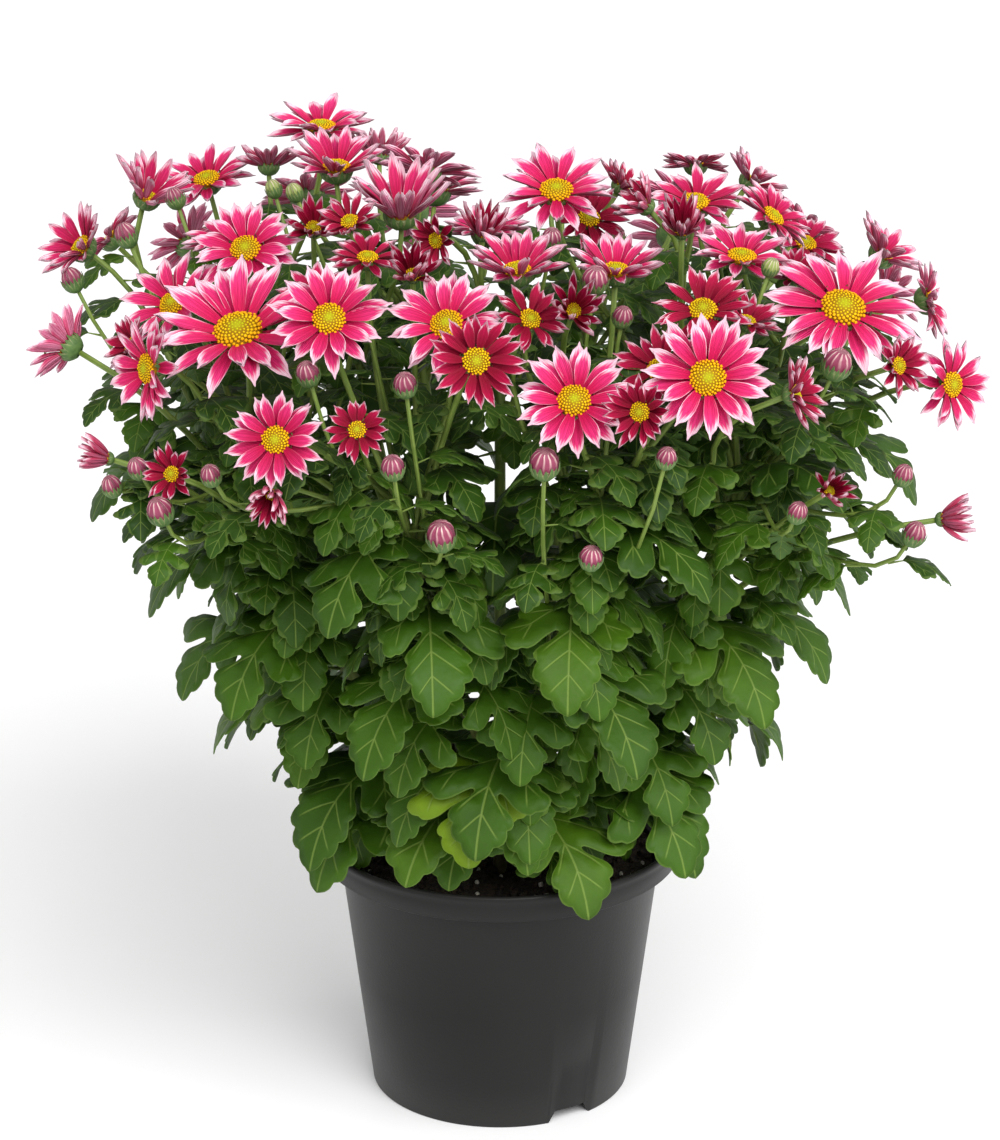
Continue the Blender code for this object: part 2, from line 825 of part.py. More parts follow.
def leaf_plan():
    """The leaves' branches, roots, azimuths, pitches, lengths and bends, before they find room."""
    for branch in range(3 * STEMS):
        shares = BRANCH_LEAVES if side_of(branch) else STEM_LEAVES
        for number, share in enumerate(shares):
            stagger = (branch * GOLDEN_SHARE) % 1 - 0.5
            share = min(0.97, max(0.03, share + LEAF_STAGGER * stagger))
            root = branch_point(branch, share)
            side = 1 if (branch + number) % 2 else -1
            low, high = LEAF_LENGTHS
            length = low + (high - low) * share
            turn, pitch, bend = (
                at_foot - less * share for at_foot, less in (LEAF_TURN, LEAF_PITCH, LEAF_BEND)
            )
            yield branch, root, azimuth_of(root) + side * turn, pitch, length, bend


def find_leaf_room(plan, others):
    """The placed sheet of a leaf that is clear of the others, or nothing."""
    _, root, azimuth, pitch, length, bend = plan
    for turn, lift, size in LEAF_MOVES:
        points, faces = leaf_sheet(length * size, bend, LEAF_FOLD)
        matrix = leaf_matrix(root, azimuth + turn, pitch + lift)
        placed = placed_points(points, matrix)
        blade = [face for face in faces if 0 not in face]
        thick = np.array(matrix.to_3x3() @ Vector((0, -0.3, 0.95))) * (BLADE + GAP)
        tree = tree_of(
            np.concatenate((placed + thick, placed, placed - thick)),
            [
                tuple(corner + layer * len(placed) for corner in face)
                for layer in range(3)
                for face in blade
            ],
        )
        if is_clear(tree, others):
            return placed, faces, tree
    return None


def leaf_object(name, placed, faces, group, material):
    obj = solid_from(name, placed, faces, group, material)
    solidify = obj.modifiers.new("thickness", "SOLIDIFY")
    solidify.thickness = BLADE
    solidify.offset = 0
    solidify.use_even_offset = True
    mesh = evaluated_mesh(obj)
    obj.modifiers.clear()
    obj.data = mesh
    return obj


def join_all(name, pieces):
    """One closed body from the first piece and the rest, joined by a Boolean union."""
    base, *rest = pieces
    group = make_collection(f"{name}_pieces", hidden=True)
    for piece in rest:
        for holder in piece.users_collection:
            holder.objects.unlink(piece)
        group.objects.link(piece)
    union = base.modifiers.new("union", "BOOLEAN")
    union.operation = "UNION"
    union.operand_type = "COLLECTION"
    union.collection = group
    union.material_mode = "TRANSFER"
    mesh = evaluated_mesh(base)
    base.modifiers.clear()
    base.data = mesh
    base.name = name
    for piece in list(group.objects):
        bpy.data.objects.remove(piece)
    bpy.data.collections.remove(group)


# Growth: heads and buds find their places first, then stalks reach them, and leaves fill in


class Head:
    """A placed bloom, young head or bud: where its stalk ends, and the piece that joins it."""

    def __init__(self, tip, direction, tree, stalk_thick, piece=None):
        self.tip = tip
        self.direction = direction
        self.tree = tree
        self.stalk_thick = stalk_thick
        self.piece = piece


def grow_branches(parts, outline, green):
    """The tubes of each leafy stem, with its main stem first."""
    tubes = [[] for _ in range(STEMS)]
    for branch in sorted(range(3 * STEMS), key=lambda branch: abs(side_of(branch))):
        thick = BRANCH_THICK if side_of(branch) else STEM_THICK
        tube = stalk(f"branch_{branch}", branch_joints(branch), thick, outline, parts, green)
        tubes[stem_of(branch)].append(tube)
    return tubes


def grow_heads(parts, petal, disc):
    """Every head in its place: blooms as nodes of their own, young ones to be joined."""
    heads = []
    for number, row in enumerate((*BLOOMS, *YOUNG), start=1):
        matrix, tree = find_head_room(row, [head.tree for head in heads])
        direction = (matrix.to_3x3() @ Vector((0, 0, 1))).normalized()
        own_node = number <= len(BLOOMS)
        name = f"bloom_{number:02d}" if own_node else f"young_{number:02d}"
        piece = head_object(name, row, matrix, parts, petal, disc)
        tip = matrix.translation
        if own_node:
            tip = tip - direction * (head_base(row[3] * MM) + GAP)
            piece = None
        heads.append(Head(tip, direction, tree, HEAD_STALK_THICK, piece))
    return heads


def grow_buds(heads, parts, petal):
    """Adds the closed buds to the heads. They stand up and lean a little outward."""
    for number, (x, y, z, width) in enumerate(BUDS, start=1):
        place = Vector((x, y, z)) * MM
        lean = around(BUD_LEAN, azimuth_of(place), 1.0).normalized()
        bud = bud_object(f"bud_{number:02d}", place, lean, width * MM, parts, petal)
        place += find_bud_room(bud, lean, [head.tree for head in heads])
        heads.append(Head(place, lean, mesh_tree(bud.data), BUD_STALK_THICK, bud))


def grow_stalks(heads, tubes, parts, outline, green):
    """Adds a stalk for each head to the tubes of the leafy stem that bears it."""
    trees = [[mesh_tree(tube.data) for tube in group] for group in tubes]
    busy = [0] * (3 * STEMS)
    for head in heads:
        own = stem_of(nearest_branch(head.tip))
        others = [other.tree for other in heads if other is not head]
        others += [tree for stem in range(STEMS) if stem != own for tree in trees[stem]]
        route = find_stalk_route(head, others, trees[own], busy)
        tube = stalk("stalk", route, head.stalk_thick, outline, parts, green)
        trees[own].append(mesh_tree(tube.data))
        tubes[own].append(tube)
        if head.piece:
            tubes[own].append(head.piece)
    return [tree for group in trees for tree in group]


def grow_leaves(obstacles, pieces, parts, green):
    """Adds each leaf that finds room among the obstacles to the pieces of its leafy stem."""
    for plan in leaf_plan():
        found = find_leaf_room(plan, obstacles)
        if found:
            placed, faces, tree = found
            obstacles.append(tree)
            leaf = leaf_object("leaf", placed, faces, parts, green)
            pieces[stem_of(plan[0])].append(leaf)


def build_plant(pot, soil, parts, helpers):
    petal = make_material("petals", (0.72, 0.05, 0.20), 0.55)
    disc = make_material("disc", (0.75, 0.50, 0.02), 0.7)
    green = make_material("foliage", (0.055, 0.16, 0.02), 0.5)
    stem_outline = bevel_shape("stem_outline", STEM_SIDES, helpers)
    stalk_outline = bevel_shape("stalk_outline", STALK_SIDES, helpers)
    pieces = grow_branches(parts, stem_outline, green)
    heads = grow_heads(parts, petal, disc)
    grow_buds(heads, parts, petal)
    obstacles = [head.tree for head in heads]
    obstacles += [mesh_tree(evaluated_mesh(obj)) for obj in (pot, soil)]
    obstacles += grow_stalks(heads, pieces, parts, stalk_outline, green)
    grow_leaves(obstacles, pieces, parts, green)
    for stem in range(STEMS):
        join_all(f"leafy_stem_{stem + 1}", pieces[stem])


def main():
    clear_scene()
    parts = make_collection("pot_chrysanthemum")
    helpers = make_collection("cutters", hidden=True)
    pot = build_pot(parts, helpers)
    soil = build_soil(parts, helpers)
    build_plant(pot, soil, parts, helpers)


main()
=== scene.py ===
"""The looks of the pot chrysanthemum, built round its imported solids.

Metres, +Z up. The origin is where the pot's axis meets the floor, and the front faces -Y. An
azimuth is measured from the front towards +X, and a tilt from straight up, both in degrees.
Heads, buds, stalks and leaves grow by the rules of the solids. Where those tried several places,
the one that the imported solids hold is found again, so each finer piece lies where its solid does.
"""

import logging
import math
from collections.abc import Iterator, Sequence
from dataclasses import dataclass, field, replace
from enum import Enum

import bpy
import numpy as np
from mathutils.bvhtree import BVHTree
from mathutils.geometry import delaunay_2d_cdt
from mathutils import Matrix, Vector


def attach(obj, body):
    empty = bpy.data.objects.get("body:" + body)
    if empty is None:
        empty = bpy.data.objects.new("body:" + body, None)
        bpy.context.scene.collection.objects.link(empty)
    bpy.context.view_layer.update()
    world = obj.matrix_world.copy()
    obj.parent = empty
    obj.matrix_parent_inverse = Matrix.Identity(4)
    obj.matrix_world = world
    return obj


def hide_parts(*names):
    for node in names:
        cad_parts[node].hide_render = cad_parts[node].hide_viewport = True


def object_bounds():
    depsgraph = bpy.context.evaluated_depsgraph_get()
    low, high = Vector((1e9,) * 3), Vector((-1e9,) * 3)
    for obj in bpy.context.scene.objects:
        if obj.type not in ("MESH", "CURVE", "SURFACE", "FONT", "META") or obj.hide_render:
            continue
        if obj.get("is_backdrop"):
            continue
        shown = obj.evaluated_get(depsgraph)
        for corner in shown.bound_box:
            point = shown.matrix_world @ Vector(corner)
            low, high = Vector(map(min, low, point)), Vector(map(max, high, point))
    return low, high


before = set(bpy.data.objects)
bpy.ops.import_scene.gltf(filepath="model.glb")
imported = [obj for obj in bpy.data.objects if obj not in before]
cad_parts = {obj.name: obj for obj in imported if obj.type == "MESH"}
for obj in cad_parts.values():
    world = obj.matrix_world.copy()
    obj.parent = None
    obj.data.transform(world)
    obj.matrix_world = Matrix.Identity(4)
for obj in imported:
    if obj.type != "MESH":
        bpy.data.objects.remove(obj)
CAD_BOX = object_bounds()
LOG = logging.getLogger("chrysanthemum")
MM = 0.001
MARKS = ("along", "across", "side", "tint", "edge")

Array = np.ndarray
Socket = bpy.types.NodeSocket
Value = Socket | float | tuple[float, ...]
Colour = tuple[float, float, float]

# Blooms: across, back and up in mm to the middle of the disc, width in mm, azimuth and tilt of
# the face, and form
BLOOMS = (
    (25, -140, 320, 40, 0, 48, "open"),
    (70, -130, 325, 44, 5, 64, "open"),
    (-75, -150, 310, 33, -10, 72, "open"),
    (-90, -95, 330, 60, -20, 28, "open"),
    (-58, -118, 342, 40, 0, 50, "open"),
    (-18, -112, 338, 40, -15, 40, "open"),
    (-8, -145, 336, 32, 5, 70, "open"),
    (120, -68, 330, 56, 15, 33, "flat"),
    (158, -75, 305, 32, 40, 78, "open"),
    (70, -92, 337, 34, 0, 33, "open"),
    (55, -112, 322, 32, -10, 40, "open"),
    (-90, -45, 345, 38, -10, 40, "open"),
    (-115, -55, 328, 38, -40, 45, "open"),
    (-118, -103, 320, 36, -55, 82, "open"),
    (6, -88, 350, 34, 0, 12, "cup"),
    (10, -112, 340, 26, 30, 45, "open"),
    (40, -85, 349, 33, 10, 12, "cup"),
    (20, -30, 362, 42, 0, 24, "open"),
    (32, -8, 346, 28, 15, 40, "open"),
    (70, -20, 355, 35, 10, 20, "open"),
    (85, -55, 345, 36, 20, 12, "open"),
    (96, -14, 346, 32, 70, 40, "open"),
    (112, 14, 330, 28, 30, 30, "open"),
    (140, 10, 327, 30, 90, 42, "cup"),
    (154, -20, 319, 30, 85, 78, "open"),
    (-60, 20, 357, 36, 0, 10, "cup"),
    (-67, 62, 361, 38, 0, 6, "open"),
    (-27, 12, 358, 35, 160, 32, "open"),
    (-35, -40, 357, 37, 0, 12, "bowl"),
    (-46, -76, 351, 26, 0, 15, "open"),
    (-64, -82, 338, 28, -10, 30, "open"),
    (-112, 90, 333, 36, -30, 20, "open"),
    (-132, 48, 338, 30, 70, 25, "bowl"),
    (-154, 20, 327, 32, -60, 50, "cup"),
    (-147, 62, 318, 28, -100, 45, "open"),
    (-152, -60, 314, 29, -120, 72, "cup"),
    (50, -142, 318, 24, -20, 78, "cup"),
    (100, -120, 316, 25, 70, 68, "cup"),
    (93, 38, 347, 26, 100, 40, "cup"),
    (73, 50, 350, 26, 180, 15, "open"),
    (-75, 115, 320, 38, -155, 38, "open"),
    (-25, 92, 328, 36, 170, 22, "open"),
    (-35, 142, 306, 40, -170, 58, "open"),
    (20, 62, 334, 34, 150, 15, "cup"),
    (25, 115, 320, 38, 170, 40, "open"),
    (70, 98, 322, 38, 150, 36, "open"),
    (68, 142, 296, 36, 160, 66, "open"),
    (115, 66, 320, 34, 120, 45, "open"),
    (115, 110, 296, 34, 135, 66, "open"),
    (-122, 118, 300, 34, -135, 60, "open"),
    (146, 52, 300, 28, 110, 70, "cup"),
    (-5, 42, 326, 34, 180, 6, "open"),
    (-100, 20, 330, 34, -90, 15, "open"),
)

# Young heads, which grow as one with their leafy stem, in the same columns
YOUNG = (
    (25, -108, 342, 20, 10, 58, "half"),
    (104, -40, 334, 22, 0, 20, "cup"),
    (86, -82, 330, 22, 60, 30, "cup"),
    (138, -88, 316, 22, 40, 70, "cup"),
    (64, -52, 354, 18, 0, 30, "half"),
    (52, -30, 357, 20, -80, 50, "bowl"),
    (42, 2, 353, 22, 90, 40, "cup"),
    (-45, 60, 354, 22, 170, 20, "bowl"),
    (-52, -58, 357, 22, -20, 35, "cup"),
    (-66, -45, 353, 20, 0, 40, "bowl"),
    (-22, -66, 355, 20, -30, 85, "cup"),
    (-6, -66, 357, 16, 20, 25, "half"),
    (-30, -92, 350, 18, 0, 45, "half"),
    (-128, -84, 322, 20, -60, 60, "cup"),
    (-88, 82, 341, 24, 180, 20, "cup"),
    (-112, -125, 289, 20, -25, 65, "cup"),
    (-48, -146, 312, 21, 0, 60, "open"),
    (-136, -100, 286, 14, -80, 75, "half"),
    (-77, -148, 290, 16, -10, 105, "half"),
    (113, -120, 281, 14, 20, 60, "half"),
    (155, -90, 260, 15, 80, 80, "half"),
)

# Closed buds: across, back and up in mm, and width in mm
BUDS = (
    (-120, 30, 343, 7),
    (-135, -12, 341, 8),
    (-158, 8, 321, 8),
    (-83, 18, 350, 6),
    (-74, -12, 357, 6),
    (-65, -128, 326, 8),
    (-48, -98, 345, 6),
    (-32, -134, 324, 8),
    (18, -64, 355, 7),
    (32, -106, 350, 9),
    (15, -146, 300, 10),
    (56, -146, 302, 7),
    (42, -102, 338, 7),
    (116, -102, 321, 10),
    (-134, -112, 280, 7),
    (-124, -122, 290, 7),
    (-116, -132, 278, 9),
    (-98, -138, 293, 7),
    (-86, -126, 302, 8),
    (-36, -150, 300, 8),
    (-20, -140, 272, 10),
    (31, -140, 264, 8),
    (102, -125, 275, 7),
    (139, -112, 284, 7),
    (144, -108, 261, 8),
    (94, -76, 348, 6),
    (46, 154, 292, 8),
    (-56, 152, 290, 8),
    (140, 92, 280, 7),
)

# Blooms, by their number in the table, whose petals are still deep crimson
CRIMSON = (7, 10, 11, 16, 19, 37, 38)


class Form(Enum):
    """How open a head is: degrees that the petals of its outer and of its inner row lift."""

    FLAT = (-6.0, 8.0)
    OPEN = (4.0, 18.0)
    CUP = (24.0, 38.0)
    BOWL = (42.0, 56.0)
    HALF = (58.0, 70.0)


# Places and shapes


def unit(vectors: Array) -> Array:
    """The vectors, each divided by its length."""
    return vectors / np.linalg.norm(vectors, axis=-1, keepdims=True)


def around(radius: Array | float, azimuth: Array | float, height: Array | float) -> Array:
    """Points at these distances from the pot's axis, azimuths and heights.

    Formula: x is the radius times the azimuth's sine, and y is minus the radius times its cosine.

    Args:
        radius: Distances from the axis.
        azimuth: Azimuths in degrees.
        height: Heights.

    Returns:
        The points, with their three coordinates on the last axis.
    """
    turn = np.radians(azimuth)
    parts = (radius * np.sin(turn), -radius * np.cos(turn), height)
    return np.stack(np.broadcast_arrays(*parts), axis=-1).astype(float)


def azimuth_of(point: Array) -> float:
    """The azimuth of a point, in degrees."""
    return math.degrees(math.atan2(point[0], -point[1]))


def rotation(axis: str, degrees: float) -> Array:
    """The 3 x 3 matrix that turns about the X or the Z axis."""
    c, s = math.cos(math.radians(degrees)), math.sin(math.radians(degrees))
    if axis == "X":
        return np.array(((1, 0, 0), (0, c, -s), (0, s, c)))
    return np.array(((c, -s, 0), (s, c, 0), (0, 0, 1)))


@dataclass(frozen=True)
class Place:
    """Where a shape stands: its origin, and its own axes as the columns of a matrix."""

    origin: Array
    axes: Array

    @classmethod
    def facing(cls, origin: Array, azimuth: float, tilt: float, spin: float = 0.0) -> "Place":
        """The place whose +Z leans by the tilt towards the azimuth, spun about it."""
        turns = rotation("Z", azimuth) @ rotation("X", tilt) @ rotation("Z", spin)
        return cls(np.asarray(origin, float), turns)

    @classmethod
    def along(cls, origin: Array, direction: Array) -> "Place":
        """The place whose +Z points along a direction."""
        tilt = math.degrees(math.acos(np.clip(direction[2], -1, 1)))
        return cls.facing(origin, azimuth_of(direction), tilt)

    @property
    def up(self) -> Array:
        """The direction of the place's own +Z."""
        return self.axes[:, 2]

    def slid(self, distance: float) -> "Place":
        """The place moved along its own +Z."""
        return Place(self.origin + self.up * distance, self.axes)

    def of(self, points: Array) -> Array:
        """Points given in the place's own axes, in the row's frame."""
        return points @ self.axes.T + self.origin


@dataclass
class Skin:
    """Closed surfaces of one material: points, four-cornered faces and five marks a point.

    A triangle repeats its third corner. The marks are what the materials read: along and across
    the shape, which side of it shows, its tint, and whether the point is on the shape's edge.
    """

    points: Array
    faces: Array
    marks: Array
    material: int = 0
    smooth: Array | None = None

    @classmethod
    def repeated(cls, points: Array, faces: Array, marks: Array, material: int) -> "Skin":
        """One skin from many shapes that share their faces.

        Args:
            points: Points, as (shapes, points, 3).
            faces: The faces of one shape.
            marks: Marks that spread to (shapes, points, 5).
            material: The number of their material.

        Returns:
            The skin of all of them.
        """
        count, size, _ = points.shape
        starts = np.arange(count)[:, None, None] * size
        marks = np.broadcast_to(marks, (count, size, len(MARKS)))
        return cls(
            points.reshape(-1, 3),
            (faces[None] + starts).reshape(-1, 4),
            marks.reshape(-1, len(MARKS)),
            material,
        )

    def placed(self, place: Place) -> "Skin":
        """This skin with its points set on a place."""
        return replace(self, points=place.of(self.points))

    @property
    def smoothing(self) -> Array:
        """For each face, whether it is smooth shaded."""
        return np.ones(len(self.faces), bool) if self.smooth is None else self.smooth


def grid_faces(index: Array) -> Array:
    """Four-cornered faces of a grid of point numbers, facing up where rows run +Y, columns +X."""
    corners = (index[:-1, :-1], index[:-1, 1:], index[1:, 1:], index[1:, :-1])
    return np.stack(corners, axis=-1).reshape(-1, 4)


def sheet_faces(rows: int, columns: int) -> Array:
    """Faces of a closed sheet: an upper and a lower grid that share their border."""
    upper = np.arange(rows * columns).reshape(rows, columns)
    lower = upper.copy()
    inner = np.arange((rows - 2) * (columns - 2)).reshape(rows - 2, columns - 2)
    lower[1:-1, 1:-1] = rows * columns + inner
    return np.concatenate((grid_faces(upper), grid_faces(lower)[:, ::-1]))


def sheet_values(upper: Array, lower: Array) -> Array:
    """Points or marks of closed sheets, in the order of their faces.

    Args:
        upper: Values of the upper grids, as (sheets, rows, columns, values).
        lower: Values of the lower grids, of which the border isn't used.

    Returns:
        The values as (sheets, points, values).
    """
    count, size = upper.shape[0], upper.shape[-1]
    inner = lower[:, 1:-1, 1:-1].reshape(count, -1, size)
    return np.concatenate((upper.reshape(count, -1, size), inner), axis=1)


def make_marks(
    along: Array, across: Array, side: Array | float, tint: Array | float, edge: Array | float = 0.0
) -> Array:
    """The five marks, spread to one shape, on the last axis."""
    return np.stack(np.broadcast_arrays(along, across, side, tint, edge), axis=-1).astype(float)


def tube_faces(rings: int, sides: int) -> Array:
    """Faces of closed tubes: rings of points from foot to tip, then a foot and a tip point."""
    ring = np.arange(rings * sides).reshape(rings, sides)
    wrapped = np.concatenate((ring, ring[:, :1]), axis=1)
    foot = np.full(sides, rings * sides)
    tip = foot + 1
    first, last = (wrapped[row] for row in (0, -1))
    low = np.stack((first[1:], first[:-1], foot, foot), axis=1)
    high = np.stack((last[:-1], last[1:], tip, tip), axis=1)
    return np.concatenate((grid_faces(wrapped), low, high))


def tubes(
    paths: Array, radii: Array, sides: int, tint: Array | float, material: int, rib: float = 0.0
) -> Skin:
    """Closed tubes along paths that each keep near to an upright plane.

    Formula: at each path point the ring's first axis is the cross product of the path's
    direction with the level line at right angles to its plane, and the second axis completes
    it; a ring's point is the path point plus the radius times its cosine and sine along them.

    Args:
        paths: Points of each path, as (paths, points, 3).
        radii: Radii that spread to (paths, points).
        sides: Points on each ring.
        tint: Tint of each path, as (paths,) or one number.
        material: The number of their material.
        rib: Share by which every other point of a ring stands out, as a ribbed stem's do.

    Returns:
        The skin of the tubes.
    """
    count, steps, _ = paths.shape
    heading = unit(np.gradient(paths, axis=1))
    run = paths[:, -1] - paths[:, 0]
    level = unit(np.stack((-run[:, 1], run[:, 0], np.full(count, 1e-9)), axis=1) + 1e-12)
    first = unit(np.cross(heading, level[:, None]))
    second = np.cross(heading, first)
    turn = 2 * np.pi * np.arange(sides) / sides
    bulge = 1 + rib * np.cos(np.pi * np.arange(sides))
    radii = np.broadcast_to(radii, (count, steps))[:, :, None, None]
    spoke = first[:, :, None] * np.cos(turn)[:, None] + second[:, :, None] * np.sin(turn)[:, None]
    rings = paths[:, :, None] + radii * bulge[:, None] * spoke
    points = np.concatenate((rings.reshape(count, -1, 3), paths[:, :1], paths[:, -1:]), axis=1)
    share = np.repeat(np.linspace(0, 1, steps), sides)
    around_it = np.tile(np.arange(sides) % 2, steps)
    tint = np.broadcast_to(np.asarray(tint, float), (count,))[:, None]
    marks = make_marks(
        np.concatenate((share, (0, 1)))[None], np.concatenate((around_it, (0, 0)))[None], 0, tint
    )
    return Skin.repeated(points, tube_faces(steps, sides), marks, material)


def turned(
    profile: Array, sides: int, tint: float, material: int, wave: Array | float = 0.0
) -> Skin:
    """A closed shape turned about +Z from its profile.

    Formula: each (radius, height) of the profile goes round at even angles, and the wave adds a
    share to the radius. The first and the last point lie on the axis, at the bottom and the top.

    Args:
        profile: (radius, height) rows from the bottom to the top.
        sides: Points round the axis.
        tint: Tint of the whole shape.
        material: The number of its material.
        wave: Shares added to the radius, spread to (profile, sides).

    Returns:
        The skin of the shape.
    """
    inner = profile[1:-1]
    turn = 2 * np.pi * np.arange(sides) / sides
    radius = inner[:, :1] * (1 + np.broadcast_to(wave, (len(profile), sides))[1:-1])
    height = np.broadcast_to(inner[:, 1:], radius.shape)
    rings = np.stack((radius * np.cos(turn), radius * np.sin(turn), height), axis=-1)
    poles = np.array(((0, 0, profile[0, 1]), (0, 0, profile[-1, 1])))
    points = np.concatenate((rings.reshape(-1, 3), poles))
    share = np.repeat(np.linspace(0, 1, len(inner)), sides)
    angle = np.tile(np.arange(sides) / sides, len(inner))
    marks = make_marks(
        np.concatenate((share, (0, 1))), np.concatenate((angle, (0, 0))), 0, tint
    )
    return Skin(points, tube_faces(len(inner), sides), marks, material)


def make_piece(
    name: str, skins: Sequence[Skin], materials: Sequence[bpy.types.Material]
) -> bpy.types.Object:
    """One object from skins, with their marks as point attributes.

    Args:
        name: The piece's name.
        skins: The skins, in the row's frame.
        materials: Materials, in the order of the skins' numbers.

    Returns:
        The object, which stands at the origin.
    """
    sizes = np.array([len(skin.points) for skin in skins])
    starts = np.concatenate(((0,), np.cumsum(sizes)[:-1]))
    points = np.concatenate([skin.points for skin in skins])
    marks = np.concatenate([skin.marks for skin in skins])
    faces = np.concatenate([skin.faces + start for skin, start in zip(skins, starts)])
    slots = np.concatenate([np.full(len(skin.faces), skin.material) for skin in skins])
    used = np.ones(faces.shape, bool)
    used[:, 3] = faces[:, 2] != faces[:, 3]
    corners = used.sum(axis=1)
    loops = faces[used]
    mesh = bpy.data.meshes.new(name)
    mesh.vertices.add(len(points))
    mesh.vertices.foreach_set("co", points.astype(np.float32).ravel())
    mesh.loops.add(len(loops))
    mesh.loops.foreach_set("vertex_index", loops.astype(np.int32))
    mesh.polygons.add(len(faces))
    first = np.concatenate(((0,), np.cumsum(corners)[:-1]))
    mesh.polygons.foreach_set("loop_start", first.astype(np.int32))
    mesh.polygons.foreach_set("material_index", slots.astype(np.int32))
    mesh.polygons.foreach_set("use_smooth", np.concatenate([skin.smoothing for skin in skins]))
    mesh.update(calc_edges=True)
    mesh.set_sharp_from_angle(angle=math.radians(100))
    for column, mark in enumerate(MARKS):
        layer = mesh.attributes.new(mark, "FLOAT", "POINT")
        layer.data.foreach_set("value", marks[:, column].astype(np.float32))
    for material in materials:
        mesh.materials.append(material)
    piece = bpy.data.objects.new(name, mesh)
    bpy.context.scene.collection.objects.link(piece)
    return piece


def show(piece: bpy.types.Object, slot: str, *nodes: str) -> None:
    """Rides a piece on the pot's body, in place of these nodes, and reports it.

    Args:
        piece: The finished piece.
        slot: The piece's material slot, which is not used.
        *nodes: The CAD nodes that it stands for.
    """
    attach(piece, "root")
    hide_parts(*nodes)
    triangles = sum(len(face.vertices) - 2 for face in piece.data.polygons)
    LOG.info("%s: %d triangles in place of %s", piece.name, triangles, ", ".join(nodes))


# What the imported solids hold


class PackedSolid:
    """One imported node: its corner points, for finding which tried place it holds."""

    def __init__(self, name: str) -> None:
        """Reads the node's points, each once."""
        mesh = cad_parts[name].data
        points = np.empty(len(mesh.vertices) * 3, np.float32)
        mesh.vertices.foreach_get("co", points)
        self.points = np.unique(points.reshape(-1, 3).round(6), axis=0).astype(float)

    def nearest(self, places: Array, count: int = 1) -> Array:
        """Mean distance from each place to its nearest points of the node.

        Args:
            places: Places, as (..., 3).
            count: How many of the nearest points the mean takes.

        Returns:
            One distance a place.
        """
        gaps = np.linalg.norm(places[..., None, :] - self.points, axis=-1)
        if count == 1:
            return gaps.min(axis=-1)
        return np.partition(gaps, count - 1, axis=-1)[..., :count].mean(axis=-1)


@dataclass(frozen=True)
class Branching:
    """How the leafy stems branch. Branch 3k is main stem k, 3k + 1 and 3k - 1 are its sides."""

    stems: int = 5
    turn: float = 18.0
    start_radius: float = 22 * MM
    start_height: float = 84 * MM
    reach: float = 54 * MM
    top: float = 296 * MM
    side_reach: float = 114 * MM
    side_top: float = 274 * MM
    join: float = 0.16
    runs: int = 4
    inner: float = 78 * MM

    @property
    def branches(self) -> range:
        """The numbers of all branches."""
        return range(3 * self.stems)

    def stem_of(self, branch: int) -> int:
        """The leafy stem that a branch belongs to."""
        return ((branch + 1) // 3) % self.stems

    def side_of(self, branch: int) -> int:
        """0 for a main stem, 1 or -1 for its side branches."""
        return (branch + 1) % 3 - 1

    def curve(self, branch: int, share: Array | float) -> Array:
        """Points on a branch's curve.

        Formula: height grows evenly from foot to tip. A main stem's radius grows by the share
        to the power 1.4. A side branch starts on its main stem's straight runs, its radius
        grows by the power 0.9, and it turns aside fastest at its foot.

        Args:
            branch: The branch's number.
            share: Shares of the way from the foot, 0, to the tip, 1.

        Returns:
            One point for each share.
        """
        side = self.side_of(branch)
        middle = 360 / self.stems * self.stem_of(branch)
        share = np.asarray(share, float)
        if side == 0:
            radius = self.start_radius + (self.reach - self.start_radius) * share**1.4
            return around(
                radius, middle, self.start_height + (self.top - self.start_height) * share
            )
        foot = self.point(branch - side, self.join)
        foot_radius = math.hypot(foot[0], foot[1])
        radius = foot_radius + (self.side_reach - foot_radius) * share**0.9
        turn = side * self.turn * (1 - (1 - share) ** 2)
        return around(radius, middle + turn, foot[2] + (self.side_top - foot[2]) * share)

    def point(self, branch: int, share: float) -> Array:
        """A point on the straight runs between the joints of a branch's solid."""
        run = min(int(share * self.runs), self.runs - 1)
        start, end = self.curve(branch, np.array((run, run + 1)) / self.runs)
        return start + (end - start) * (share * self.runs - run)

    def nearest(self, point: Array) -> int:
        """The main stem for a place near the middle, else the side branch on its side."""
        stem = round(azimuth_of(point) / (360 / self.stems))
        past = azimuth_of(point) - stem * 360 / self.stems
        if math.hypot(point[0], point[1]) < self.inner:
            return 3 * stem % len(self.branches)
        return (3 * stem + (1 if past > 0 else -1)) % len(self.branches)

    def kin(self, branch: int) -> list[int]:
        """The branches of the same leafy stem."""
        return [other for other in self.branches if self.stem_of(other) == self.stem_of(branch)]


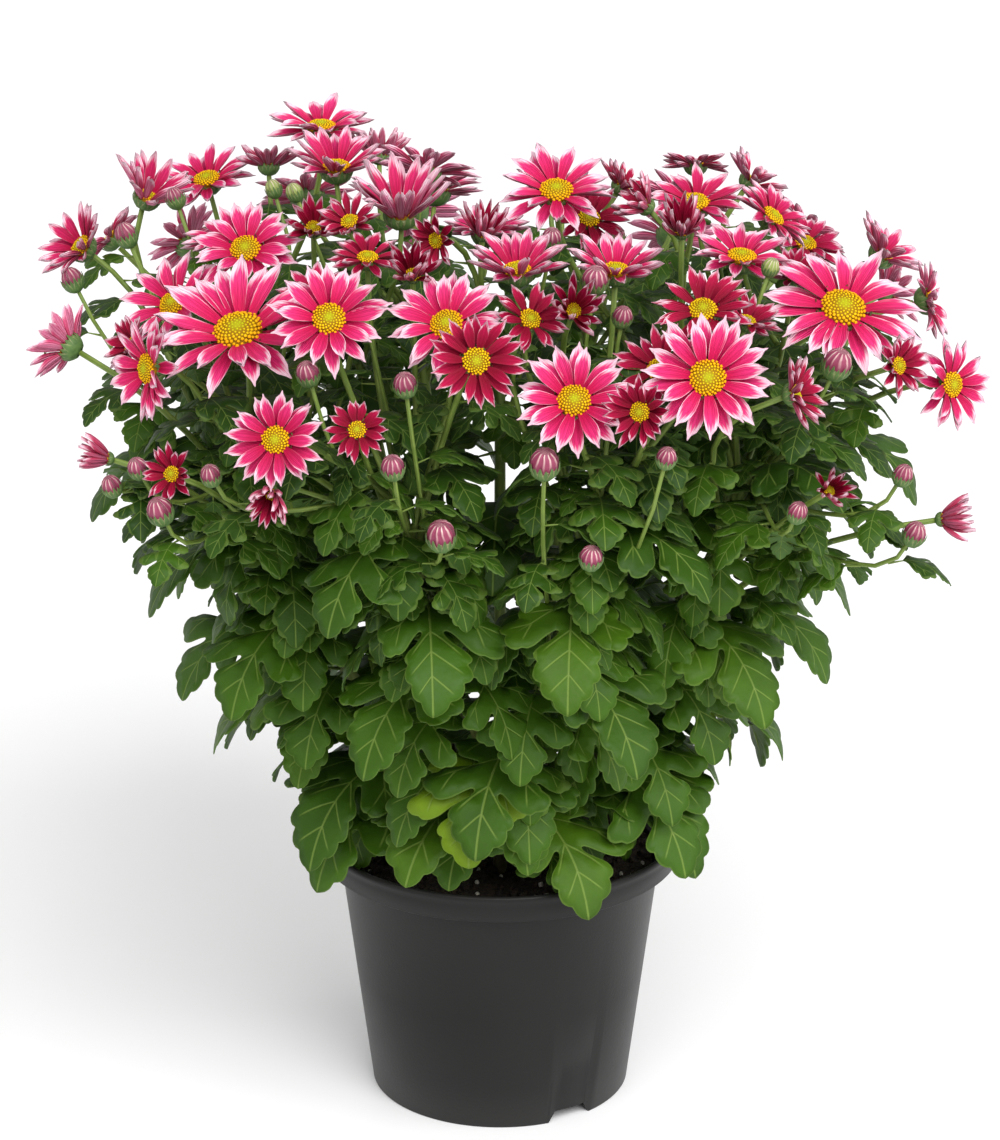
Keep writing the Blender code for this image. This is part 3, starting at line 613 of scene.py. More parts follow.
@dataclass(frozen=True)
class Stalks:
    """How a stalk runs from a branch to a head, and the places where one may leave a branch."""

    leave: float = 0.3
    short: float = 85 * MM
    gap: float = 0.3 * MM
    head_radius: float = 1.2 * MM
    bud_radius: float = 0.9 * MM
    shares: tuple[float, ...] = tuple(0.97 - 0.055 * number for number in range(11))
    bulges: tuple[float, ...] = (0.45, 0.3, 0.6, 0.15)

    def route(
        self, rules: Branching, branch: int, share: float, tip: Array, up: Array, bulge: float
    ) -> Array:
        """The four control points of a stalk's cubic curve.

        Formula: it leaves its foot half way between the branch's direction and the straight
        way, for three tenths of its length, and reaches the tip along the head's axis, for
        the bulge's share of its length.

        Args:
            rules: How the stems branch.
            branch: The branch that it leaves.
            share: Where on the branch its foot is.
            tip: Where it ends.
            up: The direction in which it ends.
            bulge: Share of its length for which it keeps to that direction.

        Returns:
            The control points, from the foot to the tip.
        """
        foot = rules.point(branch, share)
        ahead, behind = (rules.point(branch, s) for s in (min(share + 0.05, 1), share - 0.05))
        length = np.linalg.norm(tip - foot)
        start = unit(unit(ahead - behind) + (tip - foot) / length)
        return np.array(
            (foot, foot + start * self.leave * length, tip - up * bulge * length, tip)
        )

    def runs(self, route: Array) -> int:
        """How many straight runs the stalk's solid has."""
        return 2 if np.linalg.norm(route[3] - route[0]) < self.short else 3

    def find(self, rules: Branching, tip: Array, up: Array, thick: float) -> Array:
        """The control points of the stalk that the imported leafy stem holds.

        The solid's rings stand round its joints at the stalk's radius, so the route is taken
        whose inner joints have three of its points nearest to that distance.

        Args:
            rules: How the stems branch.
            tip: Where the stalk ends.
            up: The direction in which it ends.
            thick: Its radius.

        Returns:
            The control points.
        """
        own = rules.nearest(tip)
        solid = SOLIDS[f"leafy_stem_{rules.stem_of(own) + 1}"]
        best, best_miss = None, math.inf
        for branch in rules.kin(own):
            for share in self.shares:
                for bulge in self.bulges:
                    route = self.route(rules, branch, share, tip, up, bulge)
                    joints = cubic(route, self.runs(route) + 1)[1:-1]
                    miss = abs(solid.nearest(joints, 3) - thick).max()
                    if miss < best_miss:
                        best, best_miss = route, miss
        return best


def cubic(route: Array, count: int) -> Array:
    """Points at even steps on cubic curves: the weighted sum of their four control points.

    Args:
        route: Control points, as (..., 4, 3).
        count: How many points to take.

    Returns:
        The points, as (..., count, 3).
    """
    s = np.linspace(0, 1, count)
    weights = np.stack(((1 - s) ** 3, 3 * s * (1 - s) ** 2, 3 * s**2 * (1 - s), s**3), axis=1)
    return weights @ route


# Heads


@dataclass(frozen=True)
class HeadShape:
    """Sizes of a head as shares of half its width, and of its petals and florets.

    A spread multiplies a random draw, a young value is what full youth adds or takes off, and
    the widths that a head is young by are in mm.
    """

    disc: float = 0.34
    disc_rise: float = 0.20
    depth: float = 0.30
    slides: tuple[float, ...] = (0, 3, -3, 6, -6, 9, -9, 12, -12, 15, -15, 18, -18)
    leans: tuple[float, ...] = (0, -10, 10, -20, 20)
    petal_rows: int = 7
    petal_columns: int = 5
    petal_root: float = 0.25
    petal_thick: float = 0.32 * MM
    widths: tuple[float, ...] = (0.46, 0.68, 0.88, 1.0, 0.95, 0.72, 0.20)
    overlap: float = 1.36
    groove: float = 0.34 * MM
    eye: float = 0.285
    floret_sides: int = 5
    florets_per_mm: float = 2.7
    florets: tuple[int, int] = (46, 140)
    floret_turn: float = 137.508
    grown_width: float = 40.0
    youth_span: float = 24.0
    youth_spread: float = 0.08
    crimson_youth: float = 0.85
    worst_miss: float = 0.2 * MM
    reach: float = 1.08
    reach_spread: float = 0.065
    inner_reach: float = 0.95
    lift_spread: float = 5.5
    curl: float = -16.0
    curl_spread: float = 14.0
    young_curl: float = 22.0
    widest: float = 0.62
    young_slim: float = 0.2
    twist_spread: float = 15.0
    channel: float = 0.28
    young_channel: float = 0.24
    sway_spread: float = 0.06
    rounding: float = 0.10
    inner_root: float = 0.05
    outer_root: float = -0.01
    turn_spread: float = 0.17
    tint_spread: float = 0.07


@dataclass
class Head:
    """A bloom or a young head: its place, width, form and how young it is, from 0 to 1."""

    place: Place
    width: float
    form: Form
    youth: float
    seed: int
    shape: HeadShape = field(default_factory=HeadShape)

    @classmethod
    def found(cls, row: tuple, number: int, solid: PackedSolid | None) -> "Head":
        """The head of a table's row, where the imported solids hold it.

        The solid was slid along its axis and leaned until it was clear of the others. The
        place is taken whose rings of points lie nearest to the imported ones.

        Args:
            row: The head's row in its table.
            number: Its number, which seeds its random draws.
            solid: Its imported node, or None for the leafy stem nearest to it.

        Returns:
            The placed head.
        """
        shape = HeadShape()
        x, y, z, width, azimuth, tilt, form = row
        draw = np.random.default_rng(300 + number).normal()
        youth = (shape.grown_width - width) / shape.youth_span + shape.youth_spread * draw
        youth = float(np.clip(youth, 0, 1))
        if solid is not None and number in CRIMSON:
            youth = max(youth, shape.crimson_youth)
        head = cls(None, width * MM, Form[form.upper()], youth, number)
        rings = head.solid_points()
        best, best_miss = None, math.inf
        for lean in shape.leans:
            for slide in shape.slides:
                for spin in (0, 180 / head.solid_petals):
                    place = Place.facing(np.array((x, y, z)) * MM, azimuth, tilt + lean, spin)
                    place = place.slid(slide * MM)
                    packed = solid or SOLIDS[head.stem_node(place)]
                    miss = np.median(packed.nearest(place.of(rings)))
                    if miss < best_miss:
                        best, best_miss = place, miss
        head.place = best
        if best_miss > shape.worst_miss:
            LOG.warning("head %d is %.1f mm off its solid", number, best_miss / MM)
        return head

    @staticmethod
    def stem_node(place: Place) -> str:
        """The leafy stem that bears a young head at this place."""
        return f"leafy_stem_{RULES.stem_of(RULES.nearest(place.origin)) + 1}"

    @property
    def radius(self) -> float:
        """Half the head's width."""
        return self.width / 2

    @property
    def solid_petals(self) -> int:
        """How many petals the head's solid has."""
        if self.width < 24 * MM:
            return 6
        if self.width < 36 * MM:
            return 8
        return 12 if self.width >= 42 * MM else 10

    @property
    def petals(self) -> int:
        """How many petals the head shows: more on the larger ones."""
        return 2 * int(np.clip(round(6.4 + 0.10 * self.width / MM), 8, 12))

    def solid_points(self) -> Array:
        """The outline points of the head's solid, in its own axes: petal sides and tips."""
        petals, index = self.solid_petals, np.arange(self.solid_petals)
        low, high = np.radians(self.form.value)
        length = self.radius * (1 - self.shape.disc) / math.cos(low)
        lift = np.where(index % 2 == 0, low, high)
        rings = []
        widest = self.shape.widest
        for turn, along in ((-widest, widest), (0.0, 1.0), (widest, widest)):
            out = self.shape.disc * self.radius + along * length * np.cos(lift)
            angle = (index + turn) * 2 * np.pi / petals
            up = along * length * np.sin(lift)
            rings.append(np.stack((out * np.cos(angle), out * np.sin(angle), up), axis=1))
        return np.concatenate(rings)

    def skins(self, petal: int, floret: int, green: int) -> list[Skin]:
        """All skins of the head, set on its place.

        Args:
            petal: The number of the petals' material.
            floret: The number of the disc's material.
            green: The number of the bracts' material.

        Returns:
            The skins of petals, disc and calyx.
        """
        draws = np.random.default_rng(1000 + self.seed)
        skins = [
            self.petal_skin(draws, petal),
            self.dome_skin(floret),
            self.floret_skin(draws, floret),
            *calyx_skins(self.shape.disc * self.radius, self.shape.depth * self.radius, green),
        ]
        return [skin.placed(self.place) for skin in skins]

    def petal_skin(self, draws: np.random.Generator, material: int) -> Skin:
        """Two rows of long petals, as closed sheets.

        Formula: a petal's middle line climbs at its lift, which changes along it by the curl.
        Across it, points lie at shares of the half width that a table gives along the petal,
        raised by a channel, which grows with the square of that share, and by a cosine whose
        two waves make the grooves. Its end is rounded by pulling its corners back.

        Args:
            draws: Random draws of this head.
            material: The number of the material.

        Returns:
            The skin of all petals.
        """
        shape, count = self.shape, self.petals
        low, high = self.form.value
        index = np.arange(count)
        inner_row = index % 2 == 1
        spread = draws.normal(size=(6, count))
        reach = self.radius * (1 - shape.petal_root) / math.cos(math.radians(low))
        length = reach * (shape.reach + shape.reach_spread * spread[0])
        length = length * np.where(inner_row, shape.inner_reach, 1.0)
        lift = np.radians(np.where(inner_row, high, low) + shape.lift_spread * spread[1])
        curl = shape.curl + shape.curl_spread * spread[2] + shape.young_curl * self.youth
        curl = np.radians(curl)
        half = self.radius * shape.widest * np.sin(np.pi / count) * shape.overlap
        half = half * (1 - shape.young_slim * self.youth)
        along = np.linspace(0, 1, shape.petal_rows)[None, :]
        across = np.linspace(-1, 1, shape.petal_columns)[None, None, :]
        angle = lift[:, None] + curl[:, None] * (along - 0.5)
        step = length[:, None] / (shape.petal_rows - 1)
        middle = (angle[:, 1:] + angle[:, :-1]) / 2
        start = np.zeros((count, 1))
        out = np.concatenate((start, np.cumsum(np.cos(middle) * step, axis=1)), axis=1)
        climb = np.concatenate((start, np.cumsum(np.sin(middle) * step, axis=1)), axis=1)
        half_width = (half * np.array(shape.widths))[None, :, None]
        twist = np.radians(shape.twist_spread * spread[3])[:, None, None] * along[..., None]
        channel = (shape.channel + shape.young_channel * self.youth) * across**2 * half_width
        height = channel + shape.groove * np.cos(2 * np.pi * across) * np.sin(
            np.pi * np.clip(along[..., None], 0.05, 0.95)
        )
        side = across * half_width
        x = side * np.cos(twist) - height * np.sin(twist)
        sway = shape.sway_spread * spread[4] * length
        x = x + sway[:, None, None] * along[..., None] ** 2
        rise = side * np.sin(twist) + height * np.cos(twist)
        back = shape.rounding * length[:, None, None] * along[..., None] ** 5 * across**2
        radial = out[..., None] - back - rise * np.sin(angle)[..., None]
        upward = climb[..., None] + rise * np.cos(angle)[..., None]
        root_height = np.where(inner_row, shape.inner_root, shape.outer_root) * self.radius
        y = shape.petal_root * self.radius + radial
        upper = np.stack((x, y, root_height[:, None, None] + upward), axis=-1)
        normal = np.stack((0 * angle, -np.sin(angle), np.cos(angle)), axis=-1)[:, :, None]
        lower = upper - normal * shape.petal_thick
        turn = (index + shape.turn_spread * spread[5]) * 2 * np.pi / count
        points = spun(sheet_values(upper, lower), turn)
        faces = sheet_faces(shape.petal_rows, shape.petal_columns)
        spot = (along[..., None] + 0 * across, np.abs(across) + 0 * along[..., None])
        tint = (self.youth + shape.tint_spread * spread[0])[:, None, None]
        marks = sheet_values(make_marks(*spot, 0.0, tint), make_marks(*spot, 1.0, tint))
        return Skin.repeated(points, faces, marks, material)

    def dome_skin(self, material: int) -> Skin:
        """The low dome under the florets: a quarter of a flattened circle, closed below."""
        reach, rise = self.shape.eye * self.radius, self.shape.disc_rise * self.radius
        turn = np.radians((0, 25, 50, 75, 90))
        top = np.stack((reach * np.cos(turn), 0.72 * rise * np.sin(turn) + 0.04 * rise), axis=1)
        profile = np.concatenate((((0.0, -0.3 * rise), (0.8 * reach, -0.3 * rise)), top))
        skin = turned(profile, 14, self.youth, material)
        skin.marks[:, 1] = np.linalg.norm(skin.points[:, :2], axis=1) / reach
        skin.marks[:, 0] = 0.0
        return skin

    def floret_skin(self, draws: np.random.Generator, material: int) -> Skin:
        """Florets packed over the dome, each a short five-sided bud with a point on top.

        Formula: floret number n stands at the root of its share of all florets times the
        disc's radius, and each is turned 137.5 degrees on from the last. The outer ones are
        larger and lean outward.

        Args:
            draws: Random draws of this head.
            material: The number of the material.

        Returns:
            The skin of the florets.
        """
        count = int(np.clip(self.width / MM * self.shape.florets_per_mm, *self.shape.florets))
        number = np.arange(count)
        share = np.sqrt((number + 0.5) / count)
        turn = np.radians(self.shape.floret_turn * number)
        reach = self.shape.eye * self.radius
        rise = self.shape.disc_rise * self.radius * 0.72
        radius = 0.98 * reach * share
        height = rise * np.sqrt(1 - (0.94 * share) ** 2)
        rim = np.clip((share - 0.5) / 0.3, 0, 1)
        size = 0.66 * reach / math.sqrt(count) * (0.85 + 0.25 * rim)
        size = size * draws.uniform(0.86, 1.14, count)
        tall = size * (1.2 + 1.5 * rim * draws.uniform(0.3, 1.3, count))
        sides = self.shape.floret_sides
        angle = 2 * np.pi * np.arange(sides) / sides
        circle = np.stack((np.cos(angle), np.sin(angle)), axis=1)
        flare = 1.0 + 0.28 * rim
        points = np.zeros((count, 2 * sides + 1, 3))
        points[:, :sides, :2] = 0.8 * size[:, None, None] * circle
        points[:, :sides, 2] = -0.9 * size[:, None]
        points[:, sides:-1, :2] = (flare * size)[:, None, None] * circle
        points[:, sides:-1, 2] = 0.55 * tall[:, None]
        points[:, -1, 2] = np.where(rim > 0.5, 0.62, 1.0) * tall
        lean = (0.75 * share + 0.15 * draws.normal(size=count))[:, None]
        x, z = points[..., 0].copy(), points[..., 2].copy()
        points[..., 0] = x * np.cos(lean) + z * np.sin(lean) + radius[:, None]
        points[..., 2] = z * np.cos(lean) - x * np.sin(lean) + height[:, None]
        points = spun(points, turn)
        ring = np.arange(2 * sides).reshape(2, sides)
        wrapped = np.concatenate((ring, ring[:, :1]), axis=1)
        top = np.full(sides, 2 * sides)
        faces = np.concatenate(
            (
                grid_faces(wrapped),
                np.stack((wrapped[1, :-1], wrapped[1, 1:], top, top), axis=1),
                np.array(((3, 2, 1, 0), (4, 3, 0, 0))),
            )
        )
        level = np.concatenate((np.zeros(sides), np.full(sides, 0.6), (1.0,)))
        marks = make_marks(level[None], share[:, None], 0, self.youth)
        return Skin.repeated(points, faces, marks, material)


def spun(points: Array, turn: Array) -> Array:
    """Shapes, as (shapes, points, 3), each turned about +Z by its own angle in radians."""
    c, s = np.cos(turn)[:, None], np.sin(turn)[:, None]
    x, y = points[..., 0], points[..., 1]
    return np.stack((x * c - y * s, x * s + y * c, points[..., 2]), axis=-1)


def calyx_skins(radius: float, depth: float, material: int) -> list[Skin]:
    """The green cup under a head and two rows of pointed bracts that overlap on it.

    Formula: the cup's radius grows as the sine of a quarter turn while its height grows as one
    minus the cosine. A bract is a closed sheet from low on the cup to a point at its rim,
    widest at a quarter of its length, and follows the cup a little outside it.

    Args:
        radius: The cup's radius at its rim.
        depth: How far its foot lies below the head's middle.
        material: The number of the material.

    Returns:
        The skins of the cup and of the bracts.
    """
    turn = np.radians((8, 30, 52, 74, 90))
    side = np.stack((0.96 * radius * np.sin(turn), -depth * np.cos(turn)), axis=1)
    profile = np.concatenate((((0.0, -depth),), side, ((0.0, 0.02 * depth),)))
    count, rows, columns = 16, 5, 3
    index = np.arange(count)
    outer = (index % 2)[:, None, None]
    share = np.linspace(0, 1, rows)[None, :, None]
    across = np.linspace(-1, 1, columns)[None, None, :]
    climb = np.radians(20 + (72 + 8 * outer) * share)
    stand = 1.04 + 0.03 * outer + 0.05 * share**2 - 0.05 * across**2
    out = stand * radius * np.sin(np.minimum(climb, np.pi / 2)) + 0 * across
    high = -depth * np.cos(climb) * stand + 0.12 * depth * share**3
    wide = 0.30 * radius * np.array((0.5, 1.0, 0.92, 0.6, 0.1))[None, :, None]
    upper = np.stack((across * wide + 0 * outer, out, high + 0 * across), axis=-1)
    inward = np.array((0, -0.05 * radius, 0.0))
    points = spun(sheet_values(upper + inward, upper), index * 2 * np.pi / count)
    spot = make_marks(share + 0 * across, np.abs(across) + 0 * share, 0, 0.3 * outer)
    marks = sheet_values(spot, spot)
    bracts = Skin.repeated(points, sheet_faces(rows, columns), marks, material)
    return [turned(profile, 12, 0.0, material), bracts]


@dataclass
class Bud:
    """A closed bud: its place, which points up and a little outward, and its width."""

    place: Place
    width: float
    seed: int

    @classmethod
    def found(cls, row: tuple, number: int) -> "Bud":
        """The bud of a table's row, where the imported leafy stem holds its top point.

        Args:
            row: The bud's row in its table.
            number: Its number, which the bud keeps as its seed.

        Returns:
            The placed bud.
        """
        x, y, z, width = row
        middle = np.array((x, y, z)) * MM
        lean = unit(around(0.4, azimuth_of(middle), 1.0))
        place = Place.along(middle, lean)
        best, best_miss = place, math.inf
        for slide in HeadShape().slides:
            tried = place.slid(slide * MM)
            top = tried.of(np.array((0, 0, 1.25 * width / 2 * MM)))
            miss = float(SOLIDS[Head.stem_node(tried)].nearest(top))
            if miss < best_miss:
                best, best_miss = tried, miss
        return cls(best, width * MM, number)

    def skins(self, petal: int, green: int) -> list[Skin]:
        """The bud's furled petals as one ribbed egg, and its calyx.

        Formula: the egg's radius is the sine and its height minus the cosine of a half turn,
        with eleven furled ribs that deepen towards the top.

        Args:
            petal: The number of the petals' material.
            green: The number of the bracts' material.

        Returns:
            The skins, set on the bud's place.
        """
        radius = self.width / 2
        turn = np.radians(np.linspace(0, 180, 9))
        profile = np.stack(
            (0.98 * radius * np.sin(turn) ** 0.9, -1.22 * radius * np.cos(turn)), axis=1
        )
        sides = 22
        rib = 0.05 * np.cos(np.pi * np.arange(sides))[None] * (turn / np.pi)[:, None]
        egg = turned(profile, sides, 0.1 if radius < 3.2 * MM else 0.9, petal, rib)
        cup = calyx_skins(1.03 * radius, 1.25 * radius, green)
        skins = [egg, *cup]
        return [skin.placed(self.place) for skin in skins]


# Leaves


class Cut(Enum):
    """How a leaf is cut: half of its outline, and the side veins of that half.

    Both are (along, across) shares of the leaf's length, from the foot of its stalk.
    """

    FIVE = (
        (
            (0.205, 0.012),
            (0.235, 0.055),
            (0.262, 0.130),
            (0.290, 0.200),
            (0.322, 0.240),
            (0.362, 0.252),
            (0.388, 0.228),
            (0.412, 0.222),
            (0.432, 0.190),
            (0.442, 0.130),
            (0.452, 0.098),
            (0.476, 0.100),
            (0.500, 0.150),
            (0.522, 0.215),
            (0.545, 0.262),
            (0.580, 0.285),
            (0.600, 0.325),
            (0.648, 0.345),
            (0.690, 0.318),
            (0.702, 0.280),
            (0.722, 0.258),
            (0.722, 0.215),
            (0.700, 0.165),
            (0.666, 0.122),
            (0.636, 0.084),
            (0.642, 0.064),
            (0.672, 0.074),
            (0.708, 0.112),
            (0.742, 0.155),
            (0.782, 0.176),
            (0.812, 0.165),
            (0.822, 0.146),
            (0.850, 0.150),
            (0.890, 0.138),
            (0.912, 0.108),
            (0.920, 0.086),
            (0.952, 0.072),
            (0.982, 0.042),
            (1.000, 0.000),
        ),
        (
            ((0.235, 0.0), (0.340, 0.205)),
            ((0.300, 0.125), (0.405, 0.185)),
            ((0.405, 0.0), (0.635, 0.305)),
            ((0.548, 0.190), (0.695, 0.235)),
            ((0.600, 0.0), (0.775, 0.140)),
            ((0.755, 0.0), (0.880, 0.110)),
        ),
    )
    THREE = (
        (
            (0.205, 0.012),
            (0.232, 0.060),
            (0.258, 0.130),
            (0.282, 0.205),
            (0.312, 0.255),
            (0.352, 0.282),
            (0.384, 0.272),
            (0.402, 0.290),
            (0.432, 0.345),
            (0.482, 0.372),
            (0.525, 0.360),
            (0.540, 0.335),
            (0.575, 0.342),
            (0.618, 0.325),
            (0.640, 0.282),
            (0.625, 0.248),
            (0.628, 0.220),
            (0.604, 0.180),
            (0.560, 0.145),
            (0.515, 0.108),
            (0.488, 0.078),
            (0.496, 0.060),
            (0.530, 0.072),
            (0.575, 0.108),
            (0.612, 0.156),
            (0.655, 0.188),
            (0.684, 0.180),
            (0.700, 0.166),
            (0.728, 0.180),
            (0.775, 0.190),
            (0.806, 0.170),
            (0.814, 0.146),
            (0.842, 0.148),
            (0.884, 0.136),
            (0.908, 0.106),
            (0.914, 0.082),
            (0.948, 0.070),
            (0.980, 0.042),
            (1.000, 0.000),
        ),
        (
            ((0.225, 0.0), (0.530, 0.300)),
            ((0.322, 0.095), (0.355, 0.235)),
            ((0.433, 0.205), (0.590, 0.250)),
            ((0.440, 0.210), (0.480, 0.330)),
            ((0.485, 0.0), (0.655, 0.150)),
            ((0.620, 0.0), (0.770, 0.155)),
            ((0.765, 0.0), (0.880, 0.105)),
        ),
    )

    @property
    def outline(self) -> Array:
        """Half of the outline, from the stalk to the tip."""
        return np.array(self.value[0])

    @property
    def veins(self) -> tuple[tuple[tuple[float, float], tuple[float, float]], ...]:
        """The start and the end of each side vein."""
        return self.value[1]


@dataclass(frozen=True)
class Blade:
    """A flat blade in small triangles, with edges along its border and its midrib.

    Its points are (along, across) shares of the leaf's length. The faces make a closed sheet:
    the upper side, the lower side and a narrow rim, which is flat shaded.
    """

    flat: Array
    border: Array
    faces: Array
    smooth: Array

    @classmethod
    def made(cls, cut: Cut, cell: float, fine: bool) -> "Blade":
        """Cuts the blade into triangles.

        Args:
            cut: How the leaf is cut.
            cell: The distance between its inner points.
            fine: Whether the outline is smoothed with a point between each two.

        Returns:
            The blade.
        """
        half = cls.smoothed(cut.outline) if fine else cut.outline
        outline = np.concatenate((half, half[-2::-1] * (1, -1)))
        steps = np.linspace(0.222, 0.965, round(0.74 / cell) + 1)
        fixed = np.concatenate((outline, np.stack((steps, 0 * steps), axis=1)))
        points = np.concatenate((fixed, cls.inner_points(outline, fixed, cell)))
        rib = [(number, number + 1) for number in range(len(outline), len(fixed) - 1)]
        spread = (points[:, ::-1] * (1, -1)).tolist()
        made = delaunay_2d_cdt(spread, rib, [list(range(len(outline)))], 1, 1e-5)
        flat = np.array([tuple(point) for point in made[0]])[:, ::-1] * (-1, 1)
        upper = np.array([tuple(face) for face in made[2]])
        rim = cls.rim_edges(upper)
        border = np.zeros(len(flat), bool)
        border[rim] = True
        lower = upper[:, ::-1] + len(flat)
        side = np.concatenate((rim[:, ::-1], rim + len(flat)), axis=1)
        blades = np.concatenate((upper, lower))
        faces = np.concatenate((np.concatenate((blades, blades[:, 2:]), axis=1), side))
        smooth = np.arange(len(faces)) < len(blades)
        return cls(flat, border.astype(float), faces, smooth)

    @staticmethod
    def smoothed(points: Array) -> Array:
        """The points with one more between each two, on the cubic through their neighbours."""
        before, after = points[:-1], points[1:]
        first = np.concatenate((points[:1], points[:-2]))
        last = np.concatenate((points[2:], points[-1:]))
        between = (9 * (before + after) - first - last) / 16
        result = np.empty((2 * len(points) - 1, 2))
        result[::2], result[1::2] = points, between
        return result

    @staticmethod
    def inner_points(outline: Array, fixed: Array, cell: float) -> Array:
        """Points of a staggered grid that lie inside the outline and off its fixed points.

        Formula: a point is inside where a line from it crosses the outline an odd number of
        times, and it is kept if its nearest fixed point is over half a cell away.

        Args:
            outline: The border's points.
            fixed: Points of the border and the midrib.
            cell: The grid's step.

        Returns:
            The kept points.
        """
        rows = np.arange(0.2, 1.0, 0.87 * cell)
        along, across = np.meshgrid(rows, np.arange(-0.5, 0.5, cell), indexing="ij")
        across = across + 0.5 * cell * (np.arange(len(rows)) % 2)[:, None]
        spots = np.stack((along, across), axis=-1).reshape(-1, 2)
        (u, v), (u0, v0), (u1, v1) = spots.T[:, :, None], outline.T, np.roll(outline, -1, axis=0).T
        spans = (v0 > v) != (v1 > v)
        run = np.where(v1 == v0, 1.0, v1 - v0)
        inside = (spans & (u < u0 + (v - v0) * (u1 - u0) / run)).sum(axis=1) % 2 == 1
        away = np.linalg.norm(spots[:, None] - fixed, axis=-1).min(axis=1) > 0.55 * cell
        return spots[inside & away]

    @staticmethod
    def rim_edges(triangles: Array) -> Array:
        """The directed edges that belong to one triangle only."""
        edges = np.stack((triangles, np.roll(triangles, -1, axis=1)), axis=-1).reshape(-1, 2)
        _, same, uses = np.unique(
            np.sort(edges, axis=1), axis=0, return_inverse=True, return_counts=True
        )
        return edges[uses[same.reshape(-1)] == 1]


@dataclass(frozen=True)
class LeafShape:
    """Sizes that the leaves share. The midrib ends at a share of the leaf's length."""

    fold: float = 0.12
    thick: float = 0.34 * MM
    large: float = 46 * MM
    rib_end: float = 0.90
    petiole: float = 0.80 * MM
    petiole_length: float = 65 * MM
    width_spread: float = 0.09
    forward_spread: float = 0.09
    droop: float = 0.55
    droop_spread: float = 0.22
    ripples: float = 2.4
    ripple: float = 0.075
    ripple_spread: float = 0.3


@dataclass
class Leaf:
    """A placed leaf: its root, azimuth, pitch, length, bend in degrees and tint."""

    root: Array
    azimuth: float
    pitch: float
    length: float
    bend: float
    tint: float = 0.0
    seed: int = 0

    @property
    def place(self) -> Place:
        """The leaf's own axes: it leaves its root along -Y."""
        axes = rotation("Z", self.azimuth) @ rotation("X", -self.pitch)
        return Place(self.root, axes)

    def moved(self, turn: float, lift: float, size: float) -> "Leaf":
        """The leaf with another azimuth, pitch and length."""
        azimuth, pitch = self.azimuth + turn, self.pitch + lift
        return replace(self, azimuth=azimuth, pitch=pitch, length=self.length * size)

    def bent(self, along: Array, across: Array, rise: Array) -> Array:
        """Points of the drooping leaf in its own axes.

        Formula: the midrib is an arc of this bend, so it has come out by the turn's sine, and
        down by one minus its cosine, over the bend; rise stands on it at right angles.

        Args:
            along: Shares of the length along the midrib.
            across: Shares of the length across it.
            rise: Shares of the length above the midrib's arc.

        Returns:
            The points.
        """
        curve = math.radians(self.bend)
        turn = curve * along
        out = np.sin(turn) / curve + rise * np.sin(turn)
        up = (np.cos(turn) - 1) / curve + rise * np.cos(turn)
        parts = np.broadcast_arrays(across, -out, up)
        return self.length * np.stack(parts, axis=-1)

    def skins(self, blade: int, stem: int) -> list[Skin]:
        """The blade as a closed sheet, and its stalk and midrib as one tapering tube.

        Formula: the blade folds up from its midrib, its lobes droop again by the square of
        the distance, and a sine along it makes it wavy. One half is a little wider than the
        other, and its lobes reach a little further forward.

        Args:
            blade: The number of the material for five lobes; three lobes have the next one.
            stem: The number of the stalk's material.

        Returns:
            The skins, set on the leaf's place.
        """
        draws = np.random.default_rng(5000 + self.seed)
        fine = self.length > LEAF.large
        cut = Cut.FIVE if draws.uniform() < 0.5 else Cut.THREE
        mesh = BLADES[cut, fine]
        along, across = mesh.flat.T
        wide, forward, droop, wave = draws.normal(size=4)
        across = across * (1 + LEAF.width_spread * wide * np.sign(across))
        ahead = LEAF.forward_spread * forward * across * np.clip(3 * (along - 0.2), 0, 1)
        along = along + ahead * (1 - along)
        waves = LEAF.ripples * along + LEAF.ripple_spread * wave
        ripple = np.sin(2 * np.pi * waves + 3 * np.sign(across))
        rise = LEAF.fold * np.abs(across) - (LEAF.droop + LEAF.droop_spread * droop) * across**2
        rise = rise + LEAF.ripple * ripple * np.abs(across)
        upper = self.bent(along, across, rise)
        lower = self.bent(along, across, rise - LEAF.thick / self.length)
        spot = np.tile((*mesh.flat.T, mesh.border), 2)
        side = np.repeat((0.0, 1.0), len(along))
        marks = make_marks(spot[0], abs(spot[1]), side, self.tint, spot[2])
        points = np.concatenate((upper, lower))
        sheet = Skin(points, mesh.faces, marks, blade + (cut is Cut.THREE), mesh.smooth)
        steps = np.linspace(0.0, LEAF.rib_end, 8 if fine else 5)
        sunk = np.full_like(steps, -0.5 * LEAF.thick / self.length)
        path = self.bent(steps, 0 * steps, sunk)[None]
        radius = np.interp(steps, (0, 0.05, 0.24, 1), (1.5, 1.0, 0.66, 0.24)) * LEAF.petiole
        radius = radius * self.length / LEAF.petiole_length
        stalk = tubes(path, radius, 5 if fine else 4, 0.0, stem)
        return [sheet.placed(self.place), stalk.placed(self.place)]


